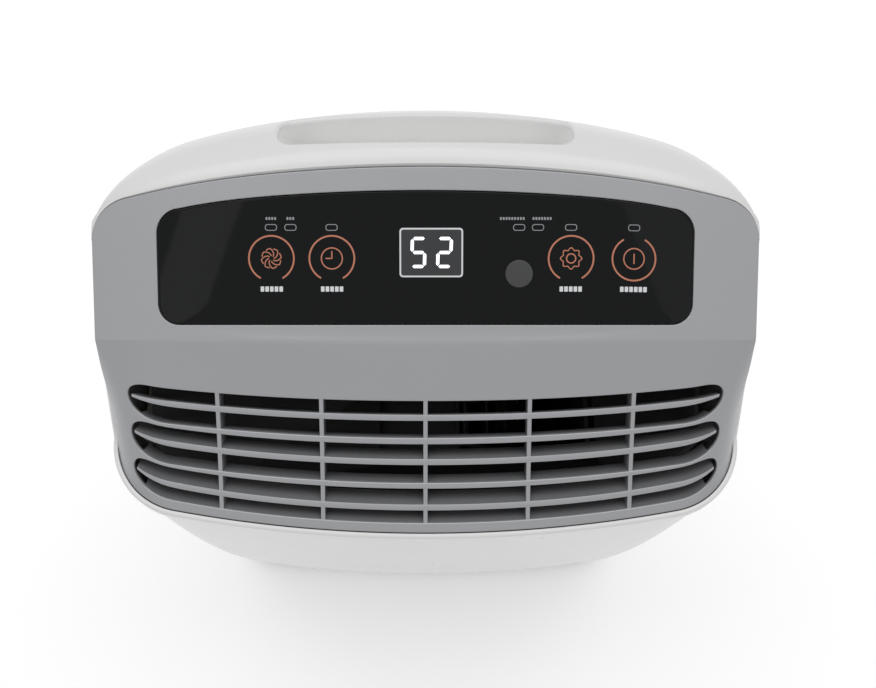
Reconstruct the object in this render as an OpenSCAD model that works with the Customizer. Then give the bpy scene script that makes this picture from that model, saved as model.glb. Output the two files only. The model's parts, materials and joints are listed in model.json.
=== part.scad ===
// Compact compressor dehumidifier: louvred silver mask on a slanted top, rear intake and rear water tank.
// Millimetres, +Z up, the front faces -Y, origin on the floor under the middle of the housing.

/* [Housing] */
// Overall width across the flat sides
body_w = 310; // [300:1:330]
// Overall depth, front bow to rear bow
body_d = 205; // [200:1:215]
// Overall height from the floor to the crown
body_h = 430; // [430:1:440]
// Wall thickness of the moulded shells
wall = 2.5; // [2:0.1:3]
// Gap between neighbouring shells
gap = 0.3; // [0.2:0.05:0.5]
// Plan radius of the front bow
front_bow_r = 680; // [600:10:800]
// Plan radius of the front corners
front_corner_r = 40; // [36:1:55]
// Plan radius of the rear bow
rear_bow_r = 420; // [380:10:480]
// Plan radius of the rear corners
rear_corner_r = 60; // [55:1:66]
// Height of the rubber feet
foot_h = 6; // [4:0.5:8]

/* [Lower front] */
// How far the bead under the mask stands proud of the lower front
bead_step = 3; // [2:0.5:4]
// Profile radius of the lower front as it draws in towards the floor
belly_r = 1650; // [1500:50:2200]

/* [Mask] */
// Height of the mask's lower front edge
mask_low_z = 340.5; // [336:0.5:345]
// Slope of the control panel facet, in degrees from level
panel_slope = 27.2; // [24:0.2:30]
// Depth position of the mask's upper edge at the middle
mask_top_y = 50.5; // [46:0.5:54]
// Height of the mask's upper edge at the middle
mask_top_z = 426; // [422:0.5:428]
// Depth position of the fold between the two facets
fold_y = -22; // [-28:0.5:-16]
// Half length of the louvre slots
slot_half = 141; // [120:1:142]
// Depth of the louvre slats behind the face
slat_depth = 9; // [6:0.5:12]

/* [Control panel] */
// Half width of the glossy lens
lens_half_w = 124; // [110:1:128]
// Thickness of the glossy lens
lens_t = 1.6; // [1.2:0.1:2]

/* [Water tank] */
// Left side of the tank
tank_x0 = -24; // [-26:1:-10]
// Right side of the tank
tank_x1 = 132; // [120:1:133]
// Underside of the tank
tank_z0 = 10.5; // [10:0.5:13]
// Rim height of the tank
tank_z1 = 146; // [120:1:148]
// Tank wall thickness
tank_wall = 2.2; // [1.8:0.1:3]

/* [Fan] */
// Height of the fan axle
fan_z = 258; // [257:1:260]
// Outer radius of the fan wheel
wheel_r = 62; // [58:1:63]
// Number of wheel blades
blades = 28; // [20:1:36]

/* [Compressor] */
// Compressor axis, left to right
comp_x = -88; // [-90:1:-86]
// Compressor axis, front to back
comp_y = 15; // [12:1:18]
// Compressor shell radius
comp_r = 44; // [40:1:44]

/* [Coils] */
// Half width of the finned blocks
coil_half_w = 104; // [90:1:104]
// Underside of the finned blocks
coil_z0 = 196; // [194:1:200]
// Height of the finned blocks
coil_h = 166; // [140:1:168]
// Number of fins in each block
fins = 30; // [20:1:36]

/* [Hidden] */
$fn = 48;
hw = body_w / 2;
hd = body_d / 2;
split_y = 28;
shell_z0 = foot_h - 1;
bead_z = mask_low_z - 7;
slope_t = tan(panel_slope);
rise = atan((mask_top_z - (mask_top_y - fold_y) * slope_t - mask_low_z) / (hd + fold_y));
mask_hw = hw - wall - gap;
mask_t = 2.2;
grille_hw = 92;
grille_z0 = 192;
grille_z1 = 368;
gland_x = -70;
gland_z = 40;
spigot_x = -99;
spigot_z = 185;

// ---- plan outline: points run from the split line round the front or the rear ----
front_turn = asin((hw - front_corner_r) / (front_bow_r - front_corner_r));
rear_turn = asin((hw - rear_corner_r) / (rear_bow_r - rear_corner_r));
front_cy = -hd + front_bow_r - (front_bow_r - front_corner_r) * cos(front_turn);
rear_cy = hd - rear_bow_r + (rear_bow_r - rear_corner_r) * cos(rear_turn);

function spread(a, b, n) = [for (i = [0 : n]) a + (b - a) * i / n];
// [x, y, outward nx, ny]; angles are measured from the -Y direction on the front and +Y on the rear
function front_arc(a) = [front_bow_r * sin(a), -hd + front_bow_r * (1 - cos(a)), sin(a), -cos(a)];
function front_corner(a) = [hw - front_corner_r + front_corner_r * sin(a), front_cy - front_corner_r * cos(a),
    sin(a), -cos(a)];
function rear_arc(a) = [rear_bow_r * sin(a), hd - rear_bow_r * (1 - cos(a)), sin(a), cos(a)];
function rear_corner(a) = [hw - rear_corner_r + rear_corner_r * sin(a), rear_cy + rear_corner_r * cos(a),
    sin(a), cos(a)];
function flip(p) = [-p[0], p[1], -p[2], p[3]];
function reversed(v) = [for (i = [len(v) - 1 : -1 : 0]) v[i]];

front_half = concat([for (a = spread(0, front_turn, 7)) front_arc(a)],
    [for (a = spread(front_turn, 90, 7)) if (a > front_turn) front_corner(a)],
    [for (y = spread(front_cy, split_y - gap, 3)) if (y > front_cy) [hw, y, 1, 0]]);
rear_half = concat([for (a = spread(0, rear_turn, 7)) rear_arc(a)],
    [for (a = spread(rear_turn, 88, 7)) if (a > rear_turn) rear_corner(a)], [[hw, split_y, 1, 0]]);
front_path = concat(reversed([for (p = front_half) if (p[0] > 0) flip(p)]), front_half);
rear_path = concat(reversed([for (p = rear_half) if (p[0] > 0) flip(p)]), rear_half);

// y of the front or rear outline at x, drawn in by t
function front_y(x, t = 0) = abs(x) < (front_bow_r - t) * sin(front_turn)
    ? -hd + front_bow_r - sqrt(pow(front_bow_r - t, 2) - x * x)
    : front_cy - sqrt(max(0, pow(front_corner_r - t, 2) - pow(abs(x) - hw + front_corner_r, 2)));
function rear_y(x, t = 0) = abs(x) < (rear_bow_r - t) * sin(rear_turn)
    ? hd - rear_bow_r + sqrt(pow(rear_bow_r - t, 2) - x * x)
    : rear_cy + sqrt(max(0, pow(rear_corner_r - t, 2) - pow(abs(x) - hw + rear_corner_r, 2)));

// the lower front draws in below the bead: front half of the plan is squeezed towards y = 0
function belly(z) = z > bead_z ? 0 : bead_step + pow(bead_z - z, 2) / (2 * belly_r);
function squeeze(y, z) = y < 0 ? y * (1 - belly(z) / hd) : y;

// ---- mask surface: t 0..1 runs down the panel facet, 1..2 down the louvred facet ----
function crown(x) = 6 * pow(max(0, abs(x) - 70) / 85, 2.2);
function edge_y(x) = mask_top_y - x * x / 1700
    - (abs(x) > mask_hw - 14 ? 14 - sqrt(max(0, 196 - pow(abs(x) - mask_hw + 14, 2))) : 0);
function panel_z(x, y) = mask_top_z - (mask_top_y - y) * slope_t - crown(x);
function fold_at(x) = fold_y + 4 * pow(x / mask_hw, 2);
function mask_point(x, t) = t <= 1
    ? let (y = edge_y(x) + (fold_at(x) - edge_y(x)) * t) [x, y, panel_z(x, y)]
    : let (s = t - 1, yb = front_y(x, wall + gap), zf = panel_z(x, fold_at(x)))
        [x, fold_at(x) + (yb - fold_at(x)) * s, zf + (mask_low_z - zf) * s - 2 * sin(180 * s)];
// push a point into the mask along the louvred facet's normal, never past the mask's upper edge
function sink(p, d) = [p[0], min(p[1] + d * sin(rise), edge_y(p[0])), p[2] - d * cos(rise)];
mask_x = [for (a = spread(-90, 90, 32)) mask_hw * sin(a) * (1 - 0.18 * pow(cos(a), 2))];

// ---- polyhedron helpers ----
// closes two matching grids, rows of points, into one solid; seen from the first grid's side, rows run
// downwards as the points run to the right
function grid_faces(rows, cols, base, flipped) = [for (r = [0 : rows - 2], c = [0 : cols - 2], k = [0, 1])
    let (a = base + r * cols + c, b = a + 1, d = a + cols, e = d + 1,
        f = k == 0 ? [a, b, e] : [a, e, d]) flipped ? [f[2], f[1], f[0]] : f];
function rim_faces(loop, n) = [for (i = [0 : len(loop) - 1], k = [0, 1])
    let (a = loop[i], b = loop[(i + 1) % len(loop)]) k == 0 ? [a, a + n, b + n] : [a, b + n, b]];
module sheet_solid(outer, inner) {
    rows = len(outer);
    cols = len(outer[0]);
    n = rows * cols;
    points = concat([for (r = outer, p = r) p], [for (r = inner, p = r) p]);
    loop = concat([for (c = [0 : cols - 2]) c], [for (r = [0 : rows - 2]) r * cols + cols - 1],
        [for (c = [cols - 1 : -1 : 1]) (rows - 1) * cols + c], [for (r = [rows - 1 : -1 : 1]) r * cols]);
    polyhedron(points, concat(grid_faces(rows, cols, 0, false), grid_faces(rows, cols, n, true),
        rim_faces(loop, n)));
}
module plan_prism(t, z0, z1, path_z) {
    pts = concat([for (p = front_path) [p[0] - p[2] * t, squeeze(p[1] - p[3] * t, path_z)]],
        [for (p = reversed(rear_path)) [p[0] - p[2] * t, p[1] - p[3] * t]]);
    translate([0, 0, z0]) linear_extrude(z1 - z0) polygon(pts);
}
module box(x0, x1, y0, y1, z0, z1) {
    translate([x0, y0, z0]) cube([x1 - x0, y1 - y0, z1 - z0]);
}
module rod_y(x, z, y0, y1, r) {
    translate([x, y0, z]) rotate([-90, 0, 0]) cylinder(r = r, h = y1 - y0);
}
module rod_x(y, z, x0, x1, r) {
    translate([x0, y, z]) rotate([0, 90, 0]) cylinder(r = r, h = x1 - x0);
}
module rod_z(x, y, z0, z1, r) {
    translate([x, y, z0]) cylinder(r = r, h = z1 - z0);
}
// round tube swept along points, as one closed mesh
module swept(path, r, sides) {
    n = len(path);
    function dir(i) = let (d = path[min(i + 1, n - 1)] - path[max(i - 1, 0)]) d / norm(d);
    points = [for (i = [0 : n - 1]) let (d = dir(i), h = abs(d[2]) > 0.9 ? [1, 0, 0] : [0, 0, 1],
        u = cross(h, d) / norm(cross(h, d)), v = cross(d, u), c = [u, v])
        for (k = [0 : sides - 1]) path[i] + r * (c[0] * cos(360 * k / sides) + c[1] * sin(360 * k / sides))];
    polyhedron(points, concat(
        [for (i = [0 : n - 2], k = [0 : sides - 1]) let (a = i * sides + k, b = i * sides + (k + 1) % sides)
            [a, a + sides, b + sides, b]],
        [[for (k = [0 : sides - 1]) k], [for (k = [sides - 1 : -1 : 0]) (n - 1) * sides + k]]));
}
// the points with each inner corner rounded off over a length r
function bent(points, r) = let (n = len(points)) concat([points[0]],
    [for (i = [1 : 1 : n - 2]) let (p = points[i], d0 = p - points[i - 1], d1 = points[i + 1] - p,
        k = min(r, norm(d0) * 0.45, norm(d1) * 0.45), a = p - d0 / norm(d0) * k, b = p + d1 / norm(d1) * k)
        for (t = [0 : 0.25 : 1]) a * (1 - t) * (1 - t) + p * 2 * t * (1 - t) + b * t * t],
    [points[n - 1]]);
module pipe(points, r) {
    swept(bent(points, 9), r, 10);
}

// ---- shells ----
// top of the front shell beside the mask
function rim_z(p) = p[1] < front_cy ? mask_low_z + 0.6
    : let (x = mask_hw, f = mask_point(x, 1)) p[1] < f[1]
        ? mask_low_z + 0.6 + (f[2] - mask_low_z) * pow((p[1] - front_cy) / (f[1] - front_cy), 0.9)
        : panel_z(x, p[1]) + 0.6;
module front_housing() {
    low = [shell_z0, 50, 110, 170, 230, 285, bead_z - 1];
    high = [0, 0.25, 0.75, 1];
    function row(z, t) = [for (p = front_path) [p[0] - p[2] * t, squeeze(p[1] - p[3] * t, z), z]];
    function top_row(k, t) = [for (p = front_path)
        [p[0] - p[2] * t, p[1] - p[3] * t, bead_z + 1 + (rim_z(p) - bead_z - 1) * k]];
    color("white") resize([0, 0, 0]) difference() {
        union() {
            sheet_solid(concat([for (z = low) row(z, wall)], [for (k = high) top_row(k, wall)]),
                concat([for (z = low) row(z, 0)], [for (k = high) top_row(k, 0)]));
            for (s = [-1, 1], z = screw_zs) rod_y(s * screw_x, z, 2, split_y - gap, 6.5);
        }
        for (s = [-1, 1], z = screw_zs) rod_y(s * screw_x, z, 0, split_y, 1.9);
    }
}
screw_x = hw - wall - 6;
screw_zs = [70, 320];

function shoulder_z(u) = body_h - 50 + 32 * pow(abs(u), 3);
function edge_point(u) =
    let (x = (mask_hw + gap) * sin(90 * abs(u)) * (1 - 0.1 * pow(cos(90 * u), 2)) * sign(u))
    [x, edge_y(min(abs(x), mask_hw)) + gap];
function crown_z(u) = let (q = edge_point(u)) panel_z(q[0], q[1]) + 4 - 2.5 * pow(abs(u), 2);
lip = 7;
rear_last = len(rear_path) - 1;
rear_low = [shell_z0, 90, 200, 300];
rear_turn_steps = [0, 15, 30, 45, 60, 75, 90];
function rear_row(z, t) = [for (i = [rear_last : -1 : 0]) let (p = rear_path[i])
    [p[0] - p[2] * t, p[1] - p[3] * t, z]];
function rear_top_row(a, t) = [for (i = [rear_last : -1 : 0]) let (p = rear_path[i],
    u = 2 * i / rear_last - 1, q = edge_point(u), zt = crown_z(u) - t, zw = shoulder_z(u),
    e = [p[0] - p[2] * t, p[1] - p[3] * t])
    [e[0] + (q[0] - e[0]) * (1 - cos(a)), e[1] + (q[1] + t - e[1]) * (1 - cos(a)), zw + (zt - zw) * sin(a)]];
function lip_row(t) = [for (i = [rear_last : -1 : 0]) let (u = 2 * i / rear_last - 1, q = edge_point(u))
    [q[0], q[1] + t, crown_z(u) - lip]];
function rear_rows(t) = concat([for (z = rear_low) rear_row(z, t)],
    [for (a = rear_turn_steps) rear_top_row(a, t)], [lip_row(t)]);
module rear_housing() {
    color("white") resize([0, 0, 0]) difference() {
        union() {
            sheet_solid(rear_rows(wall), rear_rows(0));
            for (s = [-1, 1], z = screw_zs) rod_y(s * screw_x, z, split_y, 44, 6.5);
        }
        for (s = [-1, 1], z = screw_zs) {
            rod_y(s * screw_x, z, split_y - 1, 44, 2.1);
            rod_y(s * screw_x, z, 34, hd, 4.6);
        }
        handle_cup(wall + 0.1);
        box(-grille_hw - gap, grille_hw + gap, hd - 40, hd + 1, grille_z0 - gap, grille_z1 + gap);
        box(tank_x0 - 1, tank_x1 + 1, 40, hd + 1, 0, tank_z1 + 3.5);
        rod_y(gland_x, gland_z, 80, hd + 1, 7);
        rod_y(spigot_x, spigot_z, 70, hd + 1, 9);
    }
}
// grip pocket in the rear shoulder, grown by t
cup_hw = 69;
cup_y = [62, 84];
cup_z = 394;
module handle_cup(t) {
    box(-cup_hw - t, cup_hw + t, cup_y[0] - t, cup_y[1] + t, cup_z - t, body_h + 10);
}

module handle_insert() {
    color("white") resize([0, 0, 0]) difference() {
        intersection() {
            handle_cup(wall);
            hull() sheet_solid(rear_rows(wall), rear_rows(0));
        }
        handle_cup(0);
    }
}

// ---- mask with louvres ----
slot_rows = [[0.287, 0.480], [0.515, 0.723], [0.756, 0.944]];
slat_rows = [0.374, 0.610, 0.859];
rib_x = [-98, -49, 0, 49, 98];
function facet_xy(p) = let (o = mask_point(0, 1)) [p[0],
    (p[1] - o[1]) * cos(rise) + (p[2] - o[2]) * sin(rise)];
function lifted(x, s) = s - 0.012 * pow(x / 100, 2);
module facet_prism(depth, height) {
    o = mask_point(0, 1);
    translate(o) rotate([rise, 0, 0]) translate([0, 0, -depth]) linear_extrude(depth + height) children();
}
module slot_shape(s0, s1) {
    n = 14;
    top = [for (x = spread(-slot_half + 3, slot_half - 3, n)) facet_xy(mask_point(x, 1 + lifted(x, s0)))];
    side = [for (a = spread(10, 80, 5)) facet_xy(mask_point(slot_half - 18 * (1 - cos(a)),
        1 + lifted(slot_half, s0 + (s1 - s0) * (0.12 + 0.88 * sin(a)))))];
    bottom = [for (x = spread(slot_half - 20, -slot_half + 20, n))
        facet_xy(mask_point(x, 1 + lifted(x, s1)))];
    polygon(concat(top, side, bottom, reversed([for (p = side) [-p[0], p[1]]])));
}
module lens_shape(grow) {
    o = mask_point(0, 1);
    k = cos(panel_slope);
    y0 = (-13 - fold_y) / k;
    y1 = (40.6 - fold_y) / k;
    pts = concat([for (a = spread(-90, 0, 5)) [lens_half_w - 10 + 10 * cos(a), y0 + 10 + 10 * sin(a)]],
        [for (a = spread(0, 80, 5)) [lens_half_w - 12 + 10 * cos(a), y1 - 17 + 10 * sin(a)]],
        [for (x = spread(96, -96, 10)) [x, y1 - x * x / 1900]],
        [for (a = spread(100, 180, 5)) [-lens_half_w + 12 + 10 * cos(a), y1 - 17 + 10 * sin(a)]],
        [for (a = spread(180, 270, 5)) [-lens_half_w + 10 + 10 * cos(a), y0 + 10 + 10 * sin(a)]]);
    translate(o) rotate([panel_slope, 0, 0]) translate([0, 0, -20]) linear_extrude(32) offset(delta = grow)
        polygon(pts);
}
// slat or rib fin that hangs behind the louvred facet between two rows
module slat(s, half, x_end) {
    xs = spread(-x_end, x_end, 18);
    top = [for (x = xs) mask_point(x, 1 + lifted(x, s - half))];
    low = [for (x = xs) mask_point(x, 1 + lifted(x, s + half))];
    sheet_solid([top, low], [[for (p = top) p + [0, slat_depth * 0.9, -slat_depth * 0.45]],
        [for (p = low) p + [0, slat_depth * 0.9, -slat_depth * 0.45]]]);
}
module rib(x) {
    line = [for (s = spread(0.27, 0.96, 8)) let (p = mask_point(x, 1 + s)) [p[1], p[2]]];
    back = [for (s = spread(0.96, 0.27, 8)) let (p = sink(mask_point(x, 1 + s), 11)) [p[1], p[2]]];
    translate([x - 1.2, 0, 0]) rotate([90, 0, 90]) linear_extrude(2.4) polygon(concat(line, back));
}
module mask_sheet(rows, d0, d1, xs) {
    sheet_solid([for (t = rows) [for (x = xs) sink(mask_point(x, t), d0)]],
        [for (t = rows) [for (x = xs) sink(mask_point(x, t), d1)]]);
}
module outlet_mask() {
    color("silver") {
        difference() {
            mask_sheet(concat(spread(0, 1, 5), spread(1.1, 2, 9)), 0, mask_t, mask_x);
            lens_shape(gap);
            for (r = slot_rows) facet_prism(30, 30) slot_shape(r[0], r[1]);
        }
        for (s = slat_rows) slat(s, 0.016, slot_half - 4);
        for (x = rib_x) rib(x);
    }
}

// ---- control panel, built in a frame that lies on the panel facet: y up the slope, z out of it ----
module on_panel() {
    translate(mask_point(0, 1)) rotate([panel_slope, 0, 0]) children();
}
lens_proud = 0.3;
key_x = [-70.6, -42.9, 66.7, 95.6];
key_w = 39.8;
led_x = [-70.6, -61.7, -42.9, 42.8, 51.4, 66.5, 95.4];
led_w = 53.9;
sensor_at = [43, 32.8];
sensor_r = 6.4;
display_x = [-11.9, 17.2];
display_w = [31.2, 53.7];
board_z = -12;
board_t = 1.6;
post_at = [[-110, 19], [-110, 55], [110, 19], [110, 55]];
module control_lens() {
    color("black") {
        difference() {
            intersection() {
                mask_sheet(spread(0, 1, 5), -lens_proud, lens_t - lens_proud, mask_x);
                lens_shape(0);
            }
            on_panel() translate([sensor_at[0], sensor_at[1], -5]) cylinder(r = sensor_r + 0.1, h = 9);
        }
        on_panel() for (p = post_at) translate([p[0], p[1], board_z + board_t]) difference() {
            cylinder(r = 3, h = -board_z - board_t - 3.4);
            cylinder(r = 1.2, h = 6);
        }
    }
}
module sensor_window() {
    color("gray") on_panel() translate([sensor_at[0], sensor_at[1], -1.3]) cylinder(r = sensor_r, h = 1.6);
}
module display_module() {
    color("dimgray") on_panel() translate([display_x[0] - 2, display_w[0] - 2, board_z + board_t])
        cube([display_x[1] - display_x[0] + 4, display_w[1] - display_w[0] + 4, 8.8]);
}
module indicator_leds() {
    color("ivory") on_panel() for (x = led_x) translate([x - 2.75, led_w - 1.5, board_z + board_t])
        cube([5.5, 3, 8]);
}
module touch_springs() {
    color("gold") on_panel() for (x = key_x) translate([x, key_w, board_z + board_t]) difference() {
        cylinder(r = 5, h = 8.2);
        translate([0, 0, -1]) cylinder(r = 4.2, h = 10);
    }
}
module control_board() {
    color("green") on_panel() difference() {
        translate([-115, 14, board_z]) cube([230, 46, board_t]);
        for (p = post_at) translate([p[0], p[1], board_z - 1]) cylinder(r = 1.6, h = 4);
    }
}
module board_screws() {
    color("silver") on_panel() for (p = post_at) translate([p[0], p[1], board_z - 2]) {
        cylinder(r = 2.8, h = 2);
        cylinder(r = 1.2, h = 7);
    }
}

// ---- floor pan, feet and the partition between the two lower bays ----
foot_at = [[-112, -42], [112, -42], [-112, 58], [112, 58]];
pan_z = foot_h + 3;
stud_r = 36;
stud_turns = [30, 150, 270];
function stud(a) = [comp_x + stud_r * cos(a), comp_y + stud_r * sin(a)];
module base_pan() {
    color("dimgray") difference() {
        union() {
            plan_prism(wall + gap, foot_h, pan_z, foot_h);
            for (a = stud_turns) rod_z(stud(a)[0], stud(a)[1], pan_z - 1, 29, 2.5);
            box(tank_x1 + 0.8, tank_x1 + 3, -42, 60, pan_z - 1, 20);
            box(-140, tank_x0 - 8, -46, -44, pan_z - 1, 18);
        }
        for (p = foot_at) rod_z(p[0], p[1], foot_h - 1, pan_z + 1, 3.5);
    }
}
module rubber_feet() {
    color("black") for (p = foot_at) {
        rod_z(p[0], p[1], 0, foot_h, 9);
        rod_z(p[0], p[1], foot_h - 1, pan_z + 0.5, 3.5);
    }
}
module housing_screws() {
    color("silver") for (s = [-1, 1], z = screw_zs) {
        rod_y(s * screw_x, z, 10, 34.5, 1.9);
        difference() {
            rod_y(s * screw_x, z, 34, 37, 4.2);
            box(s * screw_x - 3, s * screw_x + 3, 35.8, 38, z - 0.5, z + 0.5);
            box(s * screw_x - 0.5, s * screw_x + 0.5, 35.8, 38, z - 3, z + 3);
        }
    }
}
divider_x = tank_x0 - 4;
deck_z = tank_z1 + 11;
module bay_divider() {
    color("lightgray") difference() {
        box(divider_x, divider_x + 2, -62, 92, pan_z, deck_z);
        rod_x(-20, 130, divider_x - 1, divider_x + 3, 8);
    }
}
drip_at = [60, 45];
module bay_deck() {
    color("lightgray") difference() {
        intersection() {
            plan_prism(wall + gap, deck_z, deck_z + 2, deck_z);
            box(divider_x, hw, -hd, 76, deck_z - 1, deck_z + 3);
        }
        rod_z(drip_at[0], drip_at[1], deck_z - 1, deck_z + 3, 7.5);
    }
}

// ---- rear intake ----
module rear_band(t0, t1, half, z0, z1) {
    intersection() {
        difference() {
            plan_prism(t0, z0, z1, body_h);
            plan_prism(t1, z0 - 1, z1 + 1, body_h);
        }
        box(-half, half, 20, hd + 1, z0, z1);
    }
}
grille_cols = 22;
grille_rows = 5;
module intake_grille() {
    pitch = 2 * (grille_hw - 5) / grille_cols;
    tall = (grille_z1 - grille_z0 - 8) / grille_rows;
    color("white") difference() {
        rear_band(0.4, 3, grille_hw, grille_z0, grille_z1);
        for (i = [0 : grille_cols - 1], k = [0 : grille_rows - 1])
            translate([-grille_hw + 5 + (i + 0.5) * pitch, 60, grille_z0 + 4 + k * tall])
                translate([-pitch * 0.28, 0, 2]) cube([pitch * 0.56, 60, tall - 4]);
    }
}
filter_y = [80, 84];
module filter_frame() {
    color("gray") {
        difference() {
            box(-86, 86, filter_y[0], filter_y[1], 198, 362);
            for (i = [0 : 3], k = [0 : 2]) box(-82 + i * 41.5, -42.5 + i * 41.5, filter_y[0] - 1,
                filter_y[1] + 1, 202 + k * 52.5, 252.5 + k * 52.5);
        }
        for (s = [-1, 1], z = [200.5, 359.5]) rod_y(s * 83.5, z, filter_y[1] - 1, 89.6, 2);
    }
}
module filter_mesh() {
    color("darkgray") box(-86, 86, filter_y[0] - 0.6, filter_y[0], 198, 362);
}

// ---- fan: scroll housing, wheel, motor ----
scroll_y = [-56, 8];
scroll_r0 = wheel_r + 5;
scroll_turn0 = 75;
function scroll_r(a) = scroll_r0 + 15 * (a - scroll_turn0) / (360 - scroll_turn0);
scroll_top = fan_z + scroll_r0 + 1;
function scroll_line(t) = concat(
    [for (a = spread(scroll_turn0, 360, 19))
        [(scroll_r(a) + t) * cos(a), fan_z + (scroll_r(a) + t) * sin(a)]],
    [[scroll_r(360) + t, scroll_top], [scroll_r0 * cos(scroll_turn0) - t, scroll_top]]);
// an X-Z outline pushed through y0..y1
module slab_xz(y0, y1) {
    translate([0, y1, 0]) rotate([90, 0, 0]) linear_extrude(y1 - y0) children();
}
module scroll_rear() {
    color("lightgray") difference() {
        slab_xz(scroll_y[0] + 2, scroll_y[1]) polygon(scroll_line(2));
        difference() {
            slab_xz(scroll_y[0] + 1, scroll_y[1] - 2) polygon(scroll_line(0));
            box(-hw, hw, -hd, hd, scroll_top + 1, 400);
        }
        rod_y(0, fan_z, -60, scroll_y[1] + 1, wheel_r - 8);
        box(scroll_r0 * cos(scroll_turn0), scroll_r(360), scroll_y[0] + 1, scroll_y[1] - 2,
            scroll_top - 3, scroll_top + 1);
    }
}
motor_at = [90, 210, 330];
motor_ear_r = 34;
module scroll_front() {
    color("lightgray") difference() {
        slab_xz(scroll_y[0], scroll_y[0] + 2) polygon(scroll_line(2));
        rod_y(0, fan_z, scroll_y[0] - 1, scroll_y[0] + 3, 12);
        for (a = motor_at) rod_y(motor_ear_r * cos(a), fan_z + motor_ear_r * sin(a),
            scroll_y[0] - 1, scroll_y[0] + 3, 1.6);
    }
}
duct_top = [[-131, -6], [-131, -50], [-104, -76], [104, -76], [131, -50], [131, -6]];
module duct_form(t) {
    hull() {
        box(scroll_r0 * cos(scroll_turn0) - 2 - t, scroll_r(360) + 2 + t, scroll_y[0] - t, scroll_y[1] + t,
            scroll_top - (t > 0 ? 0 : 1), scroll_top + 1);
        translate(mask_point(0, 1)) rotate([rise, 0, 0]) translate([0, 0, -19 + (t > 0 ? 0 : 1)])
            linear_extrude(1)
                polygon([for (p = duct_top) [p[0] + sign(p[0]) * t, p[1] + (p[1] > -50 ? t : -t)]]);
    }
}
module outlet_duct() {
    color("lightgray") difference() {
        duct_form(1.8);
        duct_form(0);
    }
}
wheel_y = [-50, -4];
module fan_wheel() {
    hub_r = 9;
    blade_in = wheel_r - 12;
    color("dimgray") difference() {
        union() {
            rod_y(0, fan_z, wheel_y[0], wheel_y[0] + 2, wheel_r);
            rod_y(0, fan_z, wheel_y[0], wheel_y[0] + 18, hub_r);
            difference() {
                rod_y(0, fan_z, wheel_y[1] - 3, wheel_y[1], wheel_r);
                rod_y(0, fan_z, wheel_y[1] - 4, wheel_y[1] + 1, blade_in);
            }
            for (i = [0 : blades - 1]) translate([0, wheel_y[1] - 1, fan_z]) rotate([90, 360 * i / blades, 0])
                linear_extrude(wheel_y[1] - wheel_y[0] - 2) polygon(concat(
                    [for (a = spread(0, 60, 4)) [blade_in + 0.5 + 11 * sin(a), 5.5 * (1 - cos(a)) * 2]],
                    [for (a = spread(60, 0, 4))
                        [blade_in + 0.5 + 11 * sin(a), 5.5 * (1 - cos(a)) * 2 + 1.2]]));
        }
        rod_y(0, fan_z, wheel_y[0] - 1, wheel_y[0] + 20, 3);
    }
}
module fan_shaft() {
    color("silver") rod_y(0, fan_z, -88, wheel_y[0] + 26, 3);
}
module fan_nut() {
    color("silver") difference() {
        translate([0, wheel_y[0] + 18, fan_z]) rotate([-90, 0, 0]) cylinder(r = 6, h = 5, $fn = 6);
        rod_y(0, fan_z, wheel_y[0] + 17, wheel_y[0] + 24, 3);
    }
}
motor_y = [-86, -62];
module fan_motor() {
    color("gray") difference() {
        union() {
            rod_y(0, fan_z, motor_y[0], motor_y[1] + 1, 27);
            rod_y(0, fan_z, motor_y[1] - 1, motor_y[1] + 3, 9);
            for (a = motor_at) translate([0, motor_y[1] - 3, fan_z]) rotate([0, -a, 0]) {
                translate([20, 0, -5]) cube([motor_ear_r - 20, 3, 10]);
                rod_y(motor_ear_r, 0, 0, 3, 6);
            }
        }
        rod_y(0, fan_z, motor_y[0] - 1, motor_y[1] + 4, 3.05);
        for (a = motor_at) rod_y(motor_ear_r * cos(a), fan_z + motor_ear_r * sin(a), motor_y[1] - 4,
            motor_y[1] + 1, 1.8);
    }
}
module motor_bushes() {
    color("black") for (a = motor_at) difference() {
        rod_y(motor_ear_r * cos(a), fan_z + motor_ear_r * sin(a), motor_y[1], scroll_y[0], 5);
        rod_y(motor_ear_r * cos(a), fan_z + motor_ear_r * sin(a), motor_y[1] - 1, scroll_y[0] + 1, 1.8);
    }
}
module motor_screws() {
    color("silver") for (a = motor_at) {
        rod_y(motor_ear_r * cos(a), fan_z + motor_ear_r * sin(a), motor_y[1] - 5, motor_y[1] - 3, 3.4);
        rod_y(motor_ear_r * cos(a), fan_z + motor_ear_r * sin(a), motor_y[1] - 4, scroll_y[0] + 3, 1.6);
    }
}

// ---- compressor ----
comp_z = [26, 160];
module compressor() {
    dome = 16;
    color("black") {
        translate([comp_x, comp_y, 0]) rotate_extrude() polygon(concat([[0, comp_z[0]]],
            [for (a = spread(-60, 0, 4)) [(comp_r - 1) * cos(a), comp_z[0] + dome + dome * sin(a) * 1.1547]],
            [[comp_r - 1, comp_z[0] + 54], [comp_r, comp_z[0] + 56], [comp_r, comp_z[0] + 64],
            [comp_r - 1, comp_z[0] + 66]],
            [for (a = spread(0, 80, 5)) [(comp_r - 1) * cos(a), comp_z[1] - dome + dome * sin(a)]],
            [[0, comp_z[1]]]));
        difference() {
            union() {
                rod_z(comp_x, comp_y, 22, comp_z[0] + 4, 26);
                for (a = stud_turns) translate([comp_x, comp_y, 22]) rotate([0, 0, a]) {
                    translate([10, -7, 0]) cube([stud_r - 10, 14, 3]);
                    translate([stud_r, 0, 0]) cylinder(r = 7, h = 3);
                }
            }
            for (a = stud_turns) rod_z(stud(a)[0], stud(a)[1], 21, 26, 4.2);
        }
    }
}
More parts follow.
